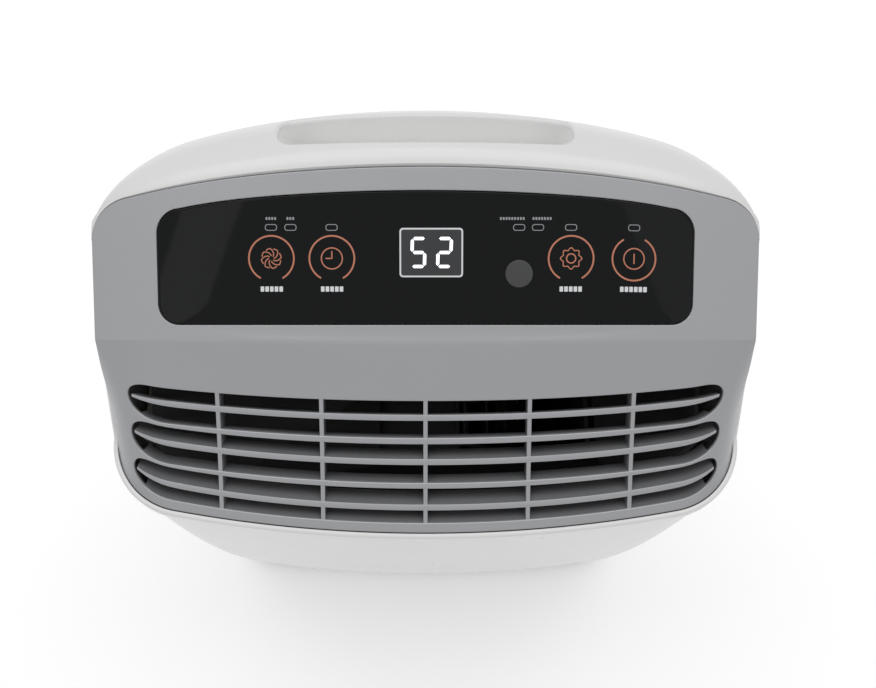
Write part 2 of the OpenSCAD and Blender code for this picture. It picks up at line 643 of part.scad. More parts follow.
module compressor_grommets() {
    color("darkslategray") for (a = stud_turns) difference() {
        union() {
            rod_z(stud(a)[0], stud(a)[1], pan_z, 22, 6.5);
            rod_z(stud(a)[0], stud(a)[1], 21, 25, 4.2);
        }
        rod_z(stud(a)[0], stud(a)[1], pan_z - 1, 26, 2.5);
    }
}
module compressor_nuts() {
    color("silver") for (a = stud_turns) difference() {
        translate([stud(a)[0], stud(a)[1], 25]) cylinder(r = 4.4, h = 3, $fn = 6);
        rod_z(stud(a)[0], stud(a)[1], 24, 29, 2.5);
    }
}
module terminal_cover() {
    color("black") difference() {
        box(comp_x - 16, comp_x + 16, comp_y - 14, comp_y + 10, comp_z[1] + 0.2, comp_z[1] + 14);
        box(comp_x - 14.5, comp_x + 14.5, comp_y - 12.5, comp_y + 8.5, comp_z[1] - 1, comp_z[1] + 12.5);
    }
}
acc_at = [-114, 66];
module accumulator() {
    color("black") {
        translate([acc_at[0], acc_at[1], 0]) rotate_extrude() polygon([[0, 56], [4, 56], [4, 62], [11, 68],
            [11, 132], [4, 138], [0, 138]]);
        pipe([[acc_at[0], acc_at[1], 58], [acc_at[0], acc_at[1], 50], [-107.4, 53.6, 50]], 3.2);
    }
}

// ---- coils: serpentine tubes in finned blocks ----
coil_rows = 7;
coil_pitch = (coil_h - 24) / (coil_rows - 1);
coil_end = coil_half_w + 3;
tube_r = 3.5;
evap_y = [52, 74];
cond_y = [20, 42];
coil_zs = [for (i = [0 : coil_rows - 1]) coil_z0 + 12 + i * coil_pitch];
module fin_block(y0, y1) {
    difference() {
        for (i = [0 : fins - 1])
            translate([-coil_half_w + i * (2 * coil_half_w - 0.8) / (fins - 1), y0, coil_z0])
            cube([0.8, y1 - y0, coil_h]);
        for (z = coil_zs) rod_x((y0 + y1) / 2, z, -coil_half_w - 1, coil_half_w + 1, tube_r + 0.05);
    }
}
// first_side +1 puts the lowest bend on the right
module serpentine(y, first_side) {
    for (z = coil_zs) rod_x(y, z, -coil_end, coil_end, tube_r);
    for (i = [0 : coil_rows - 2]) {
        s = first_side * (i % 2 == 0 ? 1 : -1);
        translate([s * coil_end, y, coil_zs[i] + coil_pitch / 2]) rotate([90, 0, 0])
            rotate([0, 0, s > 0 ? -90 : 90])
                rotate_extrude(angle = 180) translate([coil_pitch / 2, 0]) circle(r = tube_r);
    }
}
module evaporator_fins() { color("lightsteelblue") fin_block(evap_y[0], evap_y[1]); }
module condenser_fins() { color("lightsteelblue") fin_block(cond_y[0], cond_y[1]); }
module evaporator_tube() { color("peru") serpentine(63, 1); }
module condenser_tube() { color("peru") serpentine(31, -1); }
module suction_pipe() {
    color("peru") pipe([[-coil_end, 63, coil_zs[0]], [-114, 63, coil_zs[0]], [acc_at[0], acc_at[1], 198],
        [acc_at[0], acc_at[1], 138]], 3.4);
}
module discharge_pipe() {
    color("peru") pipe([[comp_x - 32, comp_y, comp_z[1] - 4], [comp_x - 32, comp_y, coil_zs[6]],
        [comp_x - 32, 31, coil_zs[6]], [-coil_end, 31, coil_zs[6]]], 3);
}
drier_at = [126, 10];
module filter_drier() {
    color("peru") {
        translate([drier_at[0], drier_at[1], 0]) rotate_extrude() polygon([[0, 218], [3, 218], [3, 222],
            [8, 228], [8, 266], [3, 272], [2, 276], [0, 276]]);
        pipe([[coil_end, 31, coil_zs[0]], [drier_at[0], 31, coil_zs[0]],
            [drier_at[0], drier_at[1], coil_zs[0]], [drier_at[0], drier_at[1], 219]], 3);
    }
}
module capillary_tube() {
    turns = 5;
    helix = [for (a = [0 : 30 : 360 * turns]) [drier_at[0] - 11 + 11 * cos(a), drier_at[1] + 11 * sin(a),
        296 + 34 * a / (360 * turns)]];
    color("peru") swept(concat([[drier_at[0], drier_at[1], 276], [drier_at[0], drier_at[1], 286]], helix,
        [[drier_at[0], drier_at[1], 345], [128, 30, 356], [128, 50, 356], [120, 62, coil_zs[6]],
        [coil_end, 63, coil_zs[6]]]), 1.3, 6);
}
module drip_tray() {
    color("gray") difference() {
        union() {
            box(-108, 108, 14, 80, 179, 192);
            rod_z(drip_at[0], drip_at[1], 152, 181, 6);
        }
        box(-106, 106, 16, 78, 181, 193);
        rod_z(drip_at[0], drip_at[1], 151, 182, 4.5);
        rod_y(spigot_x, spigot_z + 0.5, 77, 81, 4);
    }
}
spigot_y = [80, 98];
module drain_spigot() {
    color("gray") difference() {
        rod_y(spigot_x, spigot_z, spigot_y[0], spigot_y[1], 7);
        rod_y(spigot_x, spigot_z, spigot_y[0] - 1, spigot_y[1] + 1, 5);
    }
}
module drain_plug() {
    color("black") {
        rod_y(spigot_x, spigot_z, spigot_y[1] - 9, spigot_y[1] + 1, 4.95);
        rod_y(spigot_x, spigot_z, spigot_y[1] + 0.1, spigot_y[1] + 3, 8);
    }
}

// ---- electrics ----
ebox = [[-147, -106], [-46, 1], [200, 318]];
module ebox_box(t, y1) {
    box(ebox[0][0] + t, ebox[0][1] - t, ebox[1][0] + t, y1, ebox[2][0] + t, ebox[2][1] - t);
}
module electronics_box() {
    color("ivory") difference() {
        ebox_box(0, ebox[1][1] - 2);
        ebox_box(2, ebox[1][1] + 1);
    }
}
module electronics_cover() {
    color("ivory") box(ebox[0][0], ebox[0][1], ebox[1][1] - 2, ebox[1][1], ebox[2][0], ebox[2][1]);
}
module main_board() {
    color("green") {
        box(ebox[0][0] + 3, ebox[0][1] - 3, -36, -34.4, 204, 314);
        box(-140, -126, -34.5, -16, 215, 240);
        box(-122, -112, -34.5, -20, 222, 250);
        for (z = [262, 280, 298]) rod_y(-132, z, -34.5, -18, 6);
        box(-122, -110, -34.5, -24, 270, 305);
    }
}
module run_capacitor() {
    color("silver") {
        rod_z(128, -24, 205, 268, 13);
        for (x = [-5, 5]) box(128 + x - 1, 128 + x + 1, -27, -21, 267, 276);
    }
}
module humidity_sensor() {
    color("white") difference() {
        box(106, 118, 72, 80, 300, 322);
        for (i = [0 : 3]) box(108, 116, 78, 81, 304 + i * 4, 306 + i * 4);
    }
}
module defrost_probe() {
    color("black") rod_z(-coil_end - coil_pitch / 2 - tube_r - 3.2, 63, coil_zs[1] + 3, coil_zs[2] - 3, 3);
}
module wiring_harness() {
    color("black") {
        pipe([[-120, -20, ebox[2][1]], [-120, -20, 330], [-142, -10, 350], [-104, 18, 380], [-80, 18, 384],
            [-80, 18, 394.8]], 1.8);
        pipe([[-106, -40, 250], [-96, -40, 250], [-84, -66, 250], [-60, -76, 254], [-27, -76, 254]], 1.8);
        pipe([[-126, -14, ebox[2][0]], [-126, -14, 186], [comp_x, -10, 186], [comp_x, comp_y - 6, 186],
            [comp_x, comp_y - 6, comp_z[1] + 14]], 2);
    }
}
module float_sensor() {
    color("white") box(94, 110, -52, tank_y0 - 1, 104, deck_z);
}
module cord_gland() {
    color("dimgray") difference() {
        union() {
            rod_y(gland_x, gland_z, 84, 100, 6.9);
            rod_y(gland_x, gland_z, 98.6, 101.4, 10);
        }
        rod_y(gland_x, gland_z, 83, 102, 3.6);
    }
}

// ---- water tank ----
tank_y0 = -42;
grip_x = [30, 78];
grip_z = [116, 136];
float_axis = [-33, 121];
float_x = [92, 112];
module tank_form(t, z0, z1) {
    intersection() {
        plan_prism(0.2 + t, z0, z1, body_h);
        box(tank_x0 + t, tank_x1 - t, tank_y0 + t, hd, z0, z1);
    }
}
module water_tank() {
    color("lightgray") {
        difference() {
            tank_form(0, tank_z0, tank_z1);
            difference() {
                tank_form(tank_wall, tank_z0 + tank_wall, tank_z1 + 1);
                box(grip_x[0] - 2, grip_x[1] + 2, 82, hd, grip_z[0] - 2, grip_z[1] + 2);
            }
            box(grip_x[0], grip_x[1], 84, hd + 1, grip_z[0], grip_z[1]);
        }
        for (x = [float_x[0] - 3.5, float_x[1] + 0.5]) difference() {
            box(x, x + 3, tank_y0 + tank_wall - 0.2, float_axis[0] + 4, float_axis[1] - 5, float_axis[1] + 5);
            rod_x(float_axis[0], float_axis[1], x - 1, x + 4, 2.05);
        }
    }
}
lid_z = tank_z1 + 0.7;
module tank_seal() {
    color("black") difference() {
        tank_form(0.3, tank_z1, lid_z);
        tank_form(1.9, tank_z1 - 1, lid_z + 1);
    }
}
module tank_lid() {
    color("lightgray") difference() {
        tank_form(0, lid_z, lid_z + 2);
        rod_z(drip_at[0], drip_at[1], lid_z - 1, lid_z + 3, 14);
        rod_z(tank_x0 + 18, 74, lid_z - 1, lid_z + 3, 9);
    }
}
module tank_float() {
    color("white") difference() {
        union() {
            rod_x(float_axis[0], float_axis[1], float_x[0] - 3.5, float_x[1] + 3.5, 2);
            box(float_x[0] + 6, float_x[1] - 6, float_axis[0] - 2, -24, float_axis[1] - 2, float_axis[1] + 2);
            box(float_x[0], float_x[1], -26, 4, float_axis[1] - 14, float_axis[1] + 2);
        }
        rod_z(102, -22, float_axis[1] - 3, float_axis[1] + 3, 2.5);
    }
}
module float_magnet() {
    color("silver") rod_z(102, -22, float_axis[1] - 3, float_axis[1] + 1, 2.5);
}

front_housing();
rear_housing();
handle_insert();
outlet_mask();
base_pan();
rubber_feet();
housing_screws();
bay_divider();
bay_deck();
control_lens();
sensor_window();
display_module();
indicator_leds();
touch_springs();
control_board();
board_screws();
intake_grille();
filter_frame();
filter_mesh();
scroll_rear();
scroll_front();
outlet_duct();
fan_wheel();
fan_shaft();
fan_nut();
fan_motor();
motor_bushes();
motor_screws();
compressor();
compressor_grommets();
compressor_nuts();
terminal_cover();
accumulator();
evaporator_fins();
evaporator_tube();
condenser_fins();
condenser_tube();
suction_pipe();
discharge_pipe();
capillary_tube();
filter_drier();
drip_tray();
drain_spigot();
drain_plug();
electronics_box();
electronics_cover();
main_board();
run_capacitor();
humidity_sensor();
defrost_probe();
wiring_harness();
float_sensor();
cord_gland();
water_tank();
tank_lid();
tank_float();
float_magnet();
tank_seal();
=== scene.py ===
import json
import math

import bmesh
import bpy
import numpy as np
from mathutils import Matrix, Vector
from mathutils.geometry import delaunay_2d_cdt


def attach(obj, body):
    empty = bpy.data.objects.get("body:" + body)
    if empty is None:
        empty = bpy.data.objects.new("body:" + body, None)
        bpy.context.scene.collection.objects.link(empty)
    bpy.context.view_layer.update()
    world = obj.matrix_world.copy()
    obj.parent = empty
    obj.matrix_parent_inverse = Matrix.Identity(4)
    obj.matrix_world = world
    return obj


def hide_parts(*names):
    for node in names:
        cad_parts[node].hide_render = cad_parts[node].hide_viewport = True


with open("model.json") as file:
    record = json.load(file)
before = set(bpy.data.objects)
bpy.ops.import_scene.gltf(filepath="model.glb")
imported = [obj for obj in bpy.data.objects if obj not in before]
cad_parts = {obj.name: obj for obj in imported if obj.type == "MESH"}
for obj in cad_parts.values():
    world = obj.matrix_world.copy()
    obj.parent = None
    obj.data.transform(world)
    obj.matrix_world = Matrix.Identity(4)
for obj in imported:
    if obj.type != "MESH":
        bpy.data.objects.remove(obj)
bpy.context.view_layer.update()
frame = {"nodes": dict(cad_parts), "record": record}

MM = 0.001
scene = bpy.context.scene

# ---------------------------------------------------------------- driving dimensions, millimetres
HW, HD, BODY_H = 155.0, 102.5, 430.0
WALL, GAP = 2.5, 0.3
FRONT_R, FRONT_CORNER, REAR_R, REAR_CORNER = 680.0, 40.0, 420.0, 60.0
SPLIT_Y = 28.0
SHELL_Z0, BEAD_STEP, BELLY_R = 5.0, 3.0, 1650.0
MASK_LOW_Z, SLOPE, MASK_TOP_Y, MASK_TOP_Z, FOLD_Y = 340.5, math.radians(27.2), 50.5, 426.0, -22.0
BEAD_Z = MASK_LOW_Z - 7
MASK_HW, MASK_T = HW - WALL - GAP, 2.2
CROWN_DROP, CROWN_FROM, CROWN_SPAN, CROWN_POWER = 6.0, 70.0, 85.0, 2.2
TOP_BOW, TOP_CORNER_R = 1700.0, 14.0
FOLD_SWEEP, FACET_HOLLOW = 4.0, 2.0
MASK_REACH, REACH_FROM, REACH_FADE = 2.4, 136.0, (4.0, 24.0)
RIM_PROUD, RIM_DROP, RIM_R = 0.6, 3.2, 1.5
LENS_HALF, LENS_W0, LENS_W1, LENS_PROUD = 123.3, 10.1, 70.4, 0.3
GRILLE_HW, GRILLE_Z0, GRILLE_Z1 = 92.0, 192.0, 368.0
TANK_X0, TANK_X1, TANK_Z1 = -24.0, 132.0, 146.0
TANK_SIDE_GAP, TANK_TOP_GAP, TANK_CORNER = 1.0, 3.5, 4.0
GLAND_X, GLAND_Z, GLAND_HOLE = -70.0, 40.0, 7.1
SPIGOT_X, SPIGOT_Z, SPIGOT_HOLE = -99.0, 185.0, 7.6
CUP_HW, CUP_Y, CUP_Z, CUP_R = 69.0, (62.0, 84.0), 394.0, 8.0

# worked out from the dimensions above
TAN = math.tan(SLOPE)
RISE = math.atan((MASK_TOP_Z - (MASK_TOP_Y - FOLD_Y) * TAN - MASK_LOW_Z) / (HD + FOLD_Y))
NORMAL_IN = np.array([0.0, math.sin(RISE), -math.cos(RISE)])
PANEL_LEN, FACET_LEN = (MASK_TOP_Y - FOLD_Y) / math.cos(SLOPE), (HD + FOLD_Y) / math.cos(RISE)
FRONT_TURN = math.asin((HW - FRONT_CORNER) / (FRONT_R - FRONT_CORNER))
REAR_TURN = math.asin((HW - REAR_CORNER) / (REAR_R - REAR_CORNER))
FRONT_CY = -HD + FRONT_R - (FRONT_R - FRONT_CORNER) * math.cos(FRONT_TURN)
REAR_CY = HD - REAR_R + (REAR_R - REAR_CORNER) * math.cos(REAR_TURN)


def spread(a, b, n):
    """The n + 1 values that divide a to b into n equal steps."""
    return [a + (b - a) * i / n for i in range(n + 1)]


# ---------------------------------------------------------------- the object's own surfaces
def crown(x):
    """How far the top falls away towards its ends."""
    return CROWN_DROP * (max(0.0, abs(x) - CROWN_FROM) / CROWN_SPAN) ** CROWN_POWER


def edge_y(x):
    """The mask's top edge in plan: a shallow bow with a round corner at each end."""
    x = min(abs(x), MASK_HW)
    k = x - MASK_HW + TOP_CORNER_R
    corner = TOP_CORNER_R - math.sqrt(max(0.0, TOP_CORNER_R ** 2 - k * k)) if k > 0 else 0.0
    return MASK_TOP_Y - x * x / TOP_BOW - corner


def panel_z(x, y):
    return MASK_TOP_Z - (MASK_TOP_Y - y) * TAN - crown(x)


def fold_at(x):
    """The fold between the control panel above and the louvred facet below, in plan."""
    return FOLD_Y + FOLD_SWEEP * (x / MASK_HW) ** 2


def front_y(x, t=0.0):
    """The front of the body in plan, at depth t inside it."""
    if abs(x) < (FRONT_R - t) * math.sin(FRONT_TURN):
        return -HD + FRONT_R - math.sqrt((FRONT_R - t) ** 2 - x * x)
    return FRONT_CY - math.sqrt(max(0.0, (FRONT_CORNER - t) ** 2 - (abs(x) - HW + FRONT_CORNER) ** 2))


def rear_y(x, t=0.0):
    """The rear of the body in plan, at depth t inside it."""
    if abs(x) < (REAR_R - t) * math.sin(REAR_TURN):
        return HD - REAR_R + math.sqrt((REAR_R - t) ** 2 - x * x)
    return REAR_CY + math.sqrt(max(0.0, (REAR_CORNER - t) ** 2 - (abs(x) - HW + REAR_CORNER) ** 2))


def facet_z(fold_z, s):
    """Height on the facet at share s of the way down from the fold, with its slight hollow."""
    return fold_z + (MASK_LOW_Z - fold_z) * s - FACET_HOLLOW * math.sin(math.pi * s)


def mask_point(x, t):
    """A point on the mask's face: t runs from 0 at the top edge through 1 at the fold to 2 at the foot."""
    if t <= 1:
        y = edge_y(x) + (fold_at(x) - edge_y(x)) * t
        return np.array([x, y, panel_z(x, y)])
    s, f = t - 1, fold_at(x)
    y = f + (front_y(x, WALL + GAP) - f) * s
    return np.array([x, y, facet_z(panel_z(x, f), s)])


def smooth(t):
    t = min(1.0, max(0.0, t))
    return t * t * (3 - 2 * t)


def side_share(y):
    """How far the mask reaches over the side rim: none at the front corner, all from a little behind it."""
    return smooth((y - FRONT_CY - REACH_FADE[0]) / REACH_FADE[1])


def widened(x, share=1.0):
    """The x of a mask point once the mask's ends are drawn out over the side rims."""
    out = smooth((abs(x) - REACH_FROM) / (MASK_HW - REACH_FROM))
    return math.copysign(abs(x) + MASK_REACH * out * share, x)


def mask_surface(x, v, d):
    """The mask at depth d and distance v from its fold, with v above zero on the control panel."""
    p = mask_point(x, 1 - v / PANEL_LEN if v >= 0 else 1 - v / FACET_LEN)
    q = p + NORMAL_IN * d
    q[1] = min(q[1], edge_y(x))
    q[0] = widened(x, side_share(p[1]))
    return q


def panel_surface(x, w, h):
    """A point at height h over the control panel, w up its slope from the fold's middle."""
    y = FOLD_Y + w * math.cos(SLOPE)
    return np.array([x, y - h * math.sin(SLOPE), panel_z(x, y) + h * math.cos(SLOPE)])


def belly(z):
    """How far the front stands back at height z below the bead."""
    return BEAD_STEP + (BEAD_Z - z) ** 2 / (2 * BELLY_R)


def outline(turn, radius, corner, cy, side_end, sign, n_arc, n_corner, n_side):
    """Half a plan outline, [x, y, nx, ny] from the middle to the split line, then mirrored."""
    half = [[radius * math.sin(a), sign * (HD - radius * (1 - math.cos(a))), math.sin(a), sign * math.cos(a)]
            for a in spread(0, turn, n_arc)]
    half += [[HW - corner + corner * math.sin(a), cy + sign * corner * math.cos(a),
              math.sin(a), sign * math.cos(a)] for a in spread(turn, math.pi / 2, n_corner)[1:]]
    half += [[HW, y, 1.0, 0.0] for y in spread(half[-1][1], side_end, n_side)[1:]]
    return [[-x, y, -nx, ny] for x, y, nx, ny in reversed(half[1:])] + half


# ---------------------------------------------------------------- mesh helpers
WELD = 2e-6
OUTWARD_SHARE = 0.75


def add(name, verts, faces, material, body, slot, replaces=(), sharp=35, behind=None):
    """A smooth-shaded piece. Faces that don't look out of the mask take the second material, if given, as
    painted shade.
    """
    mesh = bpy.data.meshes.new(name)
    mesh.from_pydata([(float(v[0]) * MM, float(v[1]) * MM, float(v[2]) * MM) for v in verts], [], faces)
    bm = bmesh.new()
    bm.from_mesh(mesh)
    bmesh.ops.remove_doubles(bm, verts=bm.verts, dist=WELD)
    bmesh.ops.recalc_face_normals(bm, faces=bm.faces)
    for f in bm.faces:
        f.smooth = True
        if behind and f.normal.dot(Vector(-NORMAL_IN)) < OUTWARD_SHARE:
            f.material_index = 1
    bm.to_mesh(mesh)
    bm.free()
    mesh.set_sharp_from_angle(angle=math.radians(sharp))
    mesh.materials.append(material)
    if behind:
        mesh.materials.append(behind)
    ob = bpy.data.objects.new(name, mesh)
    scene.collection.objects.link(ob)
    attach(ob, body)
    if replaces:
        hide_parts(*replaces)


def swept(loops):
    """Joins matching closed loops of points into a tube with capped ends."""
    n = len(loops[0])
    verts = [p for loop in loops for p in loop]
    faces = []
    for a in range(0, len(verts) - n, n):
        faces += [(a + k, a + (k + 1) % n, a + n + (k + 1) % n, a + n + k) for k in range(n)]
    faces.append(tuple(range(n)))
    faces.append(tuple(reversed(range(len(verts) - n, len(verts)))))
    return verts, faces


def joined(parts):
    """Several meshes as one."""
    verts, faces = [], []
    for v, f in parts:
        base = len(verts)
        verts += list(v)
        faces += [tuple(base + i for i in g) for g in f]
    return verts, faces


def turned(loop):
    """The loop, run anticlockwise."""
    p = np.array(loop, float)
    q = np.roll(p, -1, 0)
    return p if (p[:, 0] * q[:, 1] - q[:, 0] * p[:, 1]).sum() > 0 else p[::-1].copy()


def outward(loop):
    """Outward direction at each point of an anticlockwise loop, mitred at the corners."""
    e = np.roll(loop, -1, 0) - loop
    e /= np.maximum(np.linalg.norm(e, axis=1), 1e-9)[:, None]
    n = np.stack([e[:, 1], -e[:, 0]], 1)
    m = n + np.roll(n, 1, 0)
    sharpest = 0.35
    length = np.maximum((m * m).sum(1) / 2, sharpest)
    return m / length[:, None]


def crossings(points, loops):
    """Which points lie inside the loops, counting holes as outside."""
    inside = np.zeros(len(points), bool)
    for loop in loops:
        for (x0, y0), (x1, y1) in zip(loop, np.roll(loop, -1, 0)):
            if y0 == y1:
                continue
            hit = (points[:, 1] > min(y0, y1)) & (points[:, 1] <= max(y0, y1))
            x = x0 + (points[:, 1] - y0) * (x1 - x0) / (y1 - y0)
            inside ^= hit & (x > points[:, 0])
    return inside


CREASE_BAND, CREASE_STEP = 1.6, 0.8
EDGE_STEP, EDGE_CLEAR, CHUNK = 0.4, 0.45, 400


def staggered_grid(lo, hi, step, creases):
    """Points that fill a box in staggered rows, with three close rows along each crease."""
    nu, nv = [max(1, int(math.ceil((hi[k] - lo[k]) / step))) for k in (0, 1)]
    grid = np.zeros((0, 2))
    if nv > 1:
        grid = np.array([[lo[0] + (i + 0.5 * (j % 2)) * (hi[0] - lo[0]) / nu,
                          lo[1] + j * (hi[1] - lo[1]) / nv] for j in range(1, nv) for i in range(0, nu + 1)])
    for c in creases:
        grid = grid[np.abs(grid[:, 1] - c) > CREASE_BAND]
        row = spread(lo[0] + 0.5, hi[0] - 0.5, int((hi[0] - lo[0]) / CREASE_BAND))
        grid = np.concatenate([grid, [[x, c + d] for d in (-CREASE_STEP, 0.0, CREASE_STEP) for x in row]])
    return grid


def clear_of(grid, loops, step):
    """The grid points inside the loops that don't crowd their edges."""
    if len(grid):
        grid = grid[crossings(grid, loops)]
    if not len(grid):
        return grid
    dense = []
    for loop in loops:
        for a, b in zip(loop, np.roll(loop, -1, 0)):
            k = max(1, int(np.linalg.norm(b - a) / (step * EDGE_STEP)))
            dense += [a + (b - a) * j / k for j in range(k)]
    dense = np.array(dense)
    keep = np.ones(len(grid), bool)
    for start in range(0, len(grid), CHUNK):
        g = grid[start:start + CHUNK]
        d2 = ((g[:, None, :] - dense[None, :, :]) ** 2).sum(2).min(1)
        keep[start:start + CHUNK] = d2 > (EDGE_CLEAR * step) ** 2
    return grid[keep]


def cut_sheet(surface, outers, holes, step, edge, thick, rounds=3, hole_edges=None, margin=0.6, creases=()):
    """A closed sheet over a flat domain with holes, every edge rounded.
    surface(u, v, depth) gives a point in millimetres; outers and holes are loops in the domain.
    A flat margin beside each rounding keeps the shading of the face clean."""
    loops, signs, radii = [], [], []
    for i, loop in enumerate(list(outers) + list(holes)):
        loop = turned(loop)
        hole = i >= len(outers)
        loops.append(loop)
        signs.append(-outward(loop) if hole else outward(loop))
        radii.append(hole_edges[i - len(outers)] if hole and hole_edges else edge)
    cores = [loop - n * r for loop, n, r in zip(loops, signs, radii)]
    inner = [core - n * (margin if r > 0 else 0.0) for core, n, r in zip(cores, signs, radii)]
    every = np.concatenate(inner)
    grid = clear_of(staggered_grid(every.min(0), every.max(0), step, creases), inner, step)
    points = [Vector((float(x), float(y))) for x, y in [*every, *grid]]
    edges, starts, base = [], [], 0
    for loop in inner:
        starts.append(base)
        edges += [(base + i, base + (i + 1) % len(loop)) for i in range(len(loop))]
        base += len(loop)
    out, _, tris, origin, _, _ = delaunay_2d_cdt(points, edges, [], 0, 1e-7)
    where = {}
    for new, olds in enumerate(origin):
        for old in olds:
            where[old] = new
    flat = np.array([(p[0], p[1]) for p in out])
    middle = np.array([flat[list(t)].mean(0) for t in tris])
    tris = [t for t, good in zip(tris, crossings(middle, inner)) if good]
    count = len(flat)
    verts = [surface(u, v, 0.0) for u, v in flat] + [surface(u, v, thick) for u, v in flat]
    faces = [tuple(t) for t in tris] + [tuple(count + i for i in reversed(t)) for t in tris]
    for loop, core, n, r, start in zip(loops, cores, signs, radii, starts):
        m = len(loop)
        rows = [[where[start + i] for i in range(m)]]
        if r > 0:
            rings = [(core, 0.0)]
            rings += [(core + n * (r * math.sin(a)), r * (1 - math.cos(a)))
                      for a in spread(0, math.pi / 2, rounds)[1:]]
            rings.append((loop, thick))
            for ring, depth in rings:
                rows.append(list(range(len(verts), len(verts) + m)))
                verts += [surface(u, v, depth) for u, v in ring]
        rows.append([count + where[start + i] for i in range(m)])
        for a, b in zip(rows, rows[1:]):
            faces += [(a[i], a[(i + 1) % m], b[(i + 1) % m], b[i]) for i in range(m)]
    return verts, faces


def rounded_rect(x0, x1, y0, y1, r, n):
    corners = ((x1 - r, y0 + r, -90), (x1 - r, y1 - r, 0), (x0 + r, y1 - r, 90), (x0 + r, y0 + r, 180))
    return [[cx + r * math.cos(math.radians(a)), cy + r * math.sin(math.radians(a))]
            for cx, cy, a0 in corners for a in spread(a0, a0 + 90, n)]


def refine(loop, length):
    """The loop with points added so that no side is much longer than the length."""
    out = []
    for a, b in zip(loop, loop[1:] + loop[:1]):
        a, b = np.array(a, float), np.array(b, float)
        k = max(1, int(np.linalg.norm(b - a) / length))
        out += [list(a + (b - a) * j / k) for j in range(k)]
    return out


def circle(cx, cy, r, n):
    turns = [2 * math.pi * i / n for i in range(n)]
    return [[cx + r * math.cos(a), cy + r * math.sin(a)] for a in turns]


def arc_band(cx, cy, r, line, a0, a1, n):
    """A line of even width bent round part of a circle."""
    angles = [math.radians(a) for a in spread(a0, a1, n)]
    outer, inner = r + line / 2, r - line / 2
    return ([[cx + outer * math.cos(a), cy + outer * math.sin(a)] for a in angles]
            + [[cx + inner * math.cos(a), cy + inner * math.sin(a)] for a in reversed(angles)])


# ---------------------------------------------------------------- materials
NOISE, WAVE = "ShaderNodeTexNoise", "ShaderNodeTexWave"
PATCH_SCALE, GRAIN_DEPTH = 14.0, 0.0004


def tree(name):
    m = bpy.data.materials.new(name)
    m.use_nodes = True
    nt = m.node_tree
    return m, nt, nt.nodes["Principled BSDF"]


def texture(nt, kind, scale, detail=3.0, stretch=(1, 1, 1)):
    co = nt.nodes.new("ShaderNodeTexCoord")
    mp = nt.nodes.new("ShaderNodeMapping")
    mp.inputs["Scale"].default_value = stretch
    nt.links.new(co.outputs["Object"], mp.inputs["Vector"])
    tx = nt.nodes.new(kind)
    tx.inputs["Scale"].default_value = scale
    tx.inputs["Detail"].default_value = detail
    nt.links.new(mp.outputs["Vector"], tx.inputs["Vector"])
    return tx


def vary(nt, value, socket, lo, hi):
    """Drives a socket between two values."""
    r = nt.nodes.new("ShaderNodeMapRange")
    r.inputs["To Min"].default_value = lo
    r.inputs["To Max"].default_value = hi
    nt.links.new(value, r.inputs["Value"])
    nt.links.new(r.outputs["Result"], socket)


def blend(nt, value, low, high):
    """A colour between two others."""
    mix = nt.nodes.new("ShaderNodeMix")
    mix.data_type = "RGBA"
    mix.inputs["A"].default_value = (*low, 1)
    mix.inputs["B"].default_value = (*high, 1)
    nt.links.new(value, mix.inputs["Factor"])
    return mix.outputs["Result"]


def relief(nt, b, height, strength, distance):
    bp = nt.nodes.new("ShaderNodeBump")
    bp.inputs["Strength"].default_value = strength
    bp.inputs["Distance"].default_value = distance
    nt.links.new(height, bp.inputs["Height"])
    nt.links.new(bp.outputs["Normal"], b.inputs["Normal"])


def surface_look(name, colour, rough, metal=0.0, grain=900.0, bump=0.02, spread_rough=0.06, tint=0.03,
                 coat=0.0, coat_rough=0.1, stretch=(1, 1, 1), specular=0.5):
    """Colour with slow patches, roughness that wanders, and a fine grain in relief."""
    m, nt, b = tree(name)
    slow = texture(nt, NOISE, PATCH_SCALE, 2.0)
    colour_out = blend(nt, slow.outputs["Fac"], [c * (1 - tint) for c in colour],
                       [min(1.0, c * (1 + tint)) for c in colour])
    nt.links.new(colour_out, b.inputs["Base Color"])
    wear = texture(nt, NOISE, PATCH_SCALE * 4, 4.0, stretch)
    smoothest = max(0.02, rough - spread_rough)
    vary(nt, wear.outputs["Fac"], b.inputs["Roughness"], smoothest, rough + spread_rough)
    fine = texture(nt, NOISE, grain, 2.0, stretch)
    relief(nt, b, fine.outputs["Fac"], bump, GRAIN_DEPTH)
    b.inputs["Metallic"].default_value = metal
    b.inputs["Coat Weight"].default_value = coat
    b.inputs["Coat Roughness"].default_value = coat_rough
    b.inputs["Specular IOR Level"].default_value = specular
    return m


def printed(name, colour, glow):
    """Ink or a lit segment: a flat colour that also gives off a little light."""
    m, nt, b = tree(name)
    n = texture(nt, NOISE, 300.0, 3.0)
    vary(nt, n.outputs["Fac"], b.inputs["Roughness"], 0.32, 0.5)
    colour_out = blend(nt, n.outputs["Fac"], [c * 0.93 for c in colour], colour)
    nt.links.new(colour_out, b.inputs["Base Color"])
    nt.links.new(colour_out, b.inputs["Emission Color"])
    b.inputs["Emission Strength"].default_value = glow
    return m


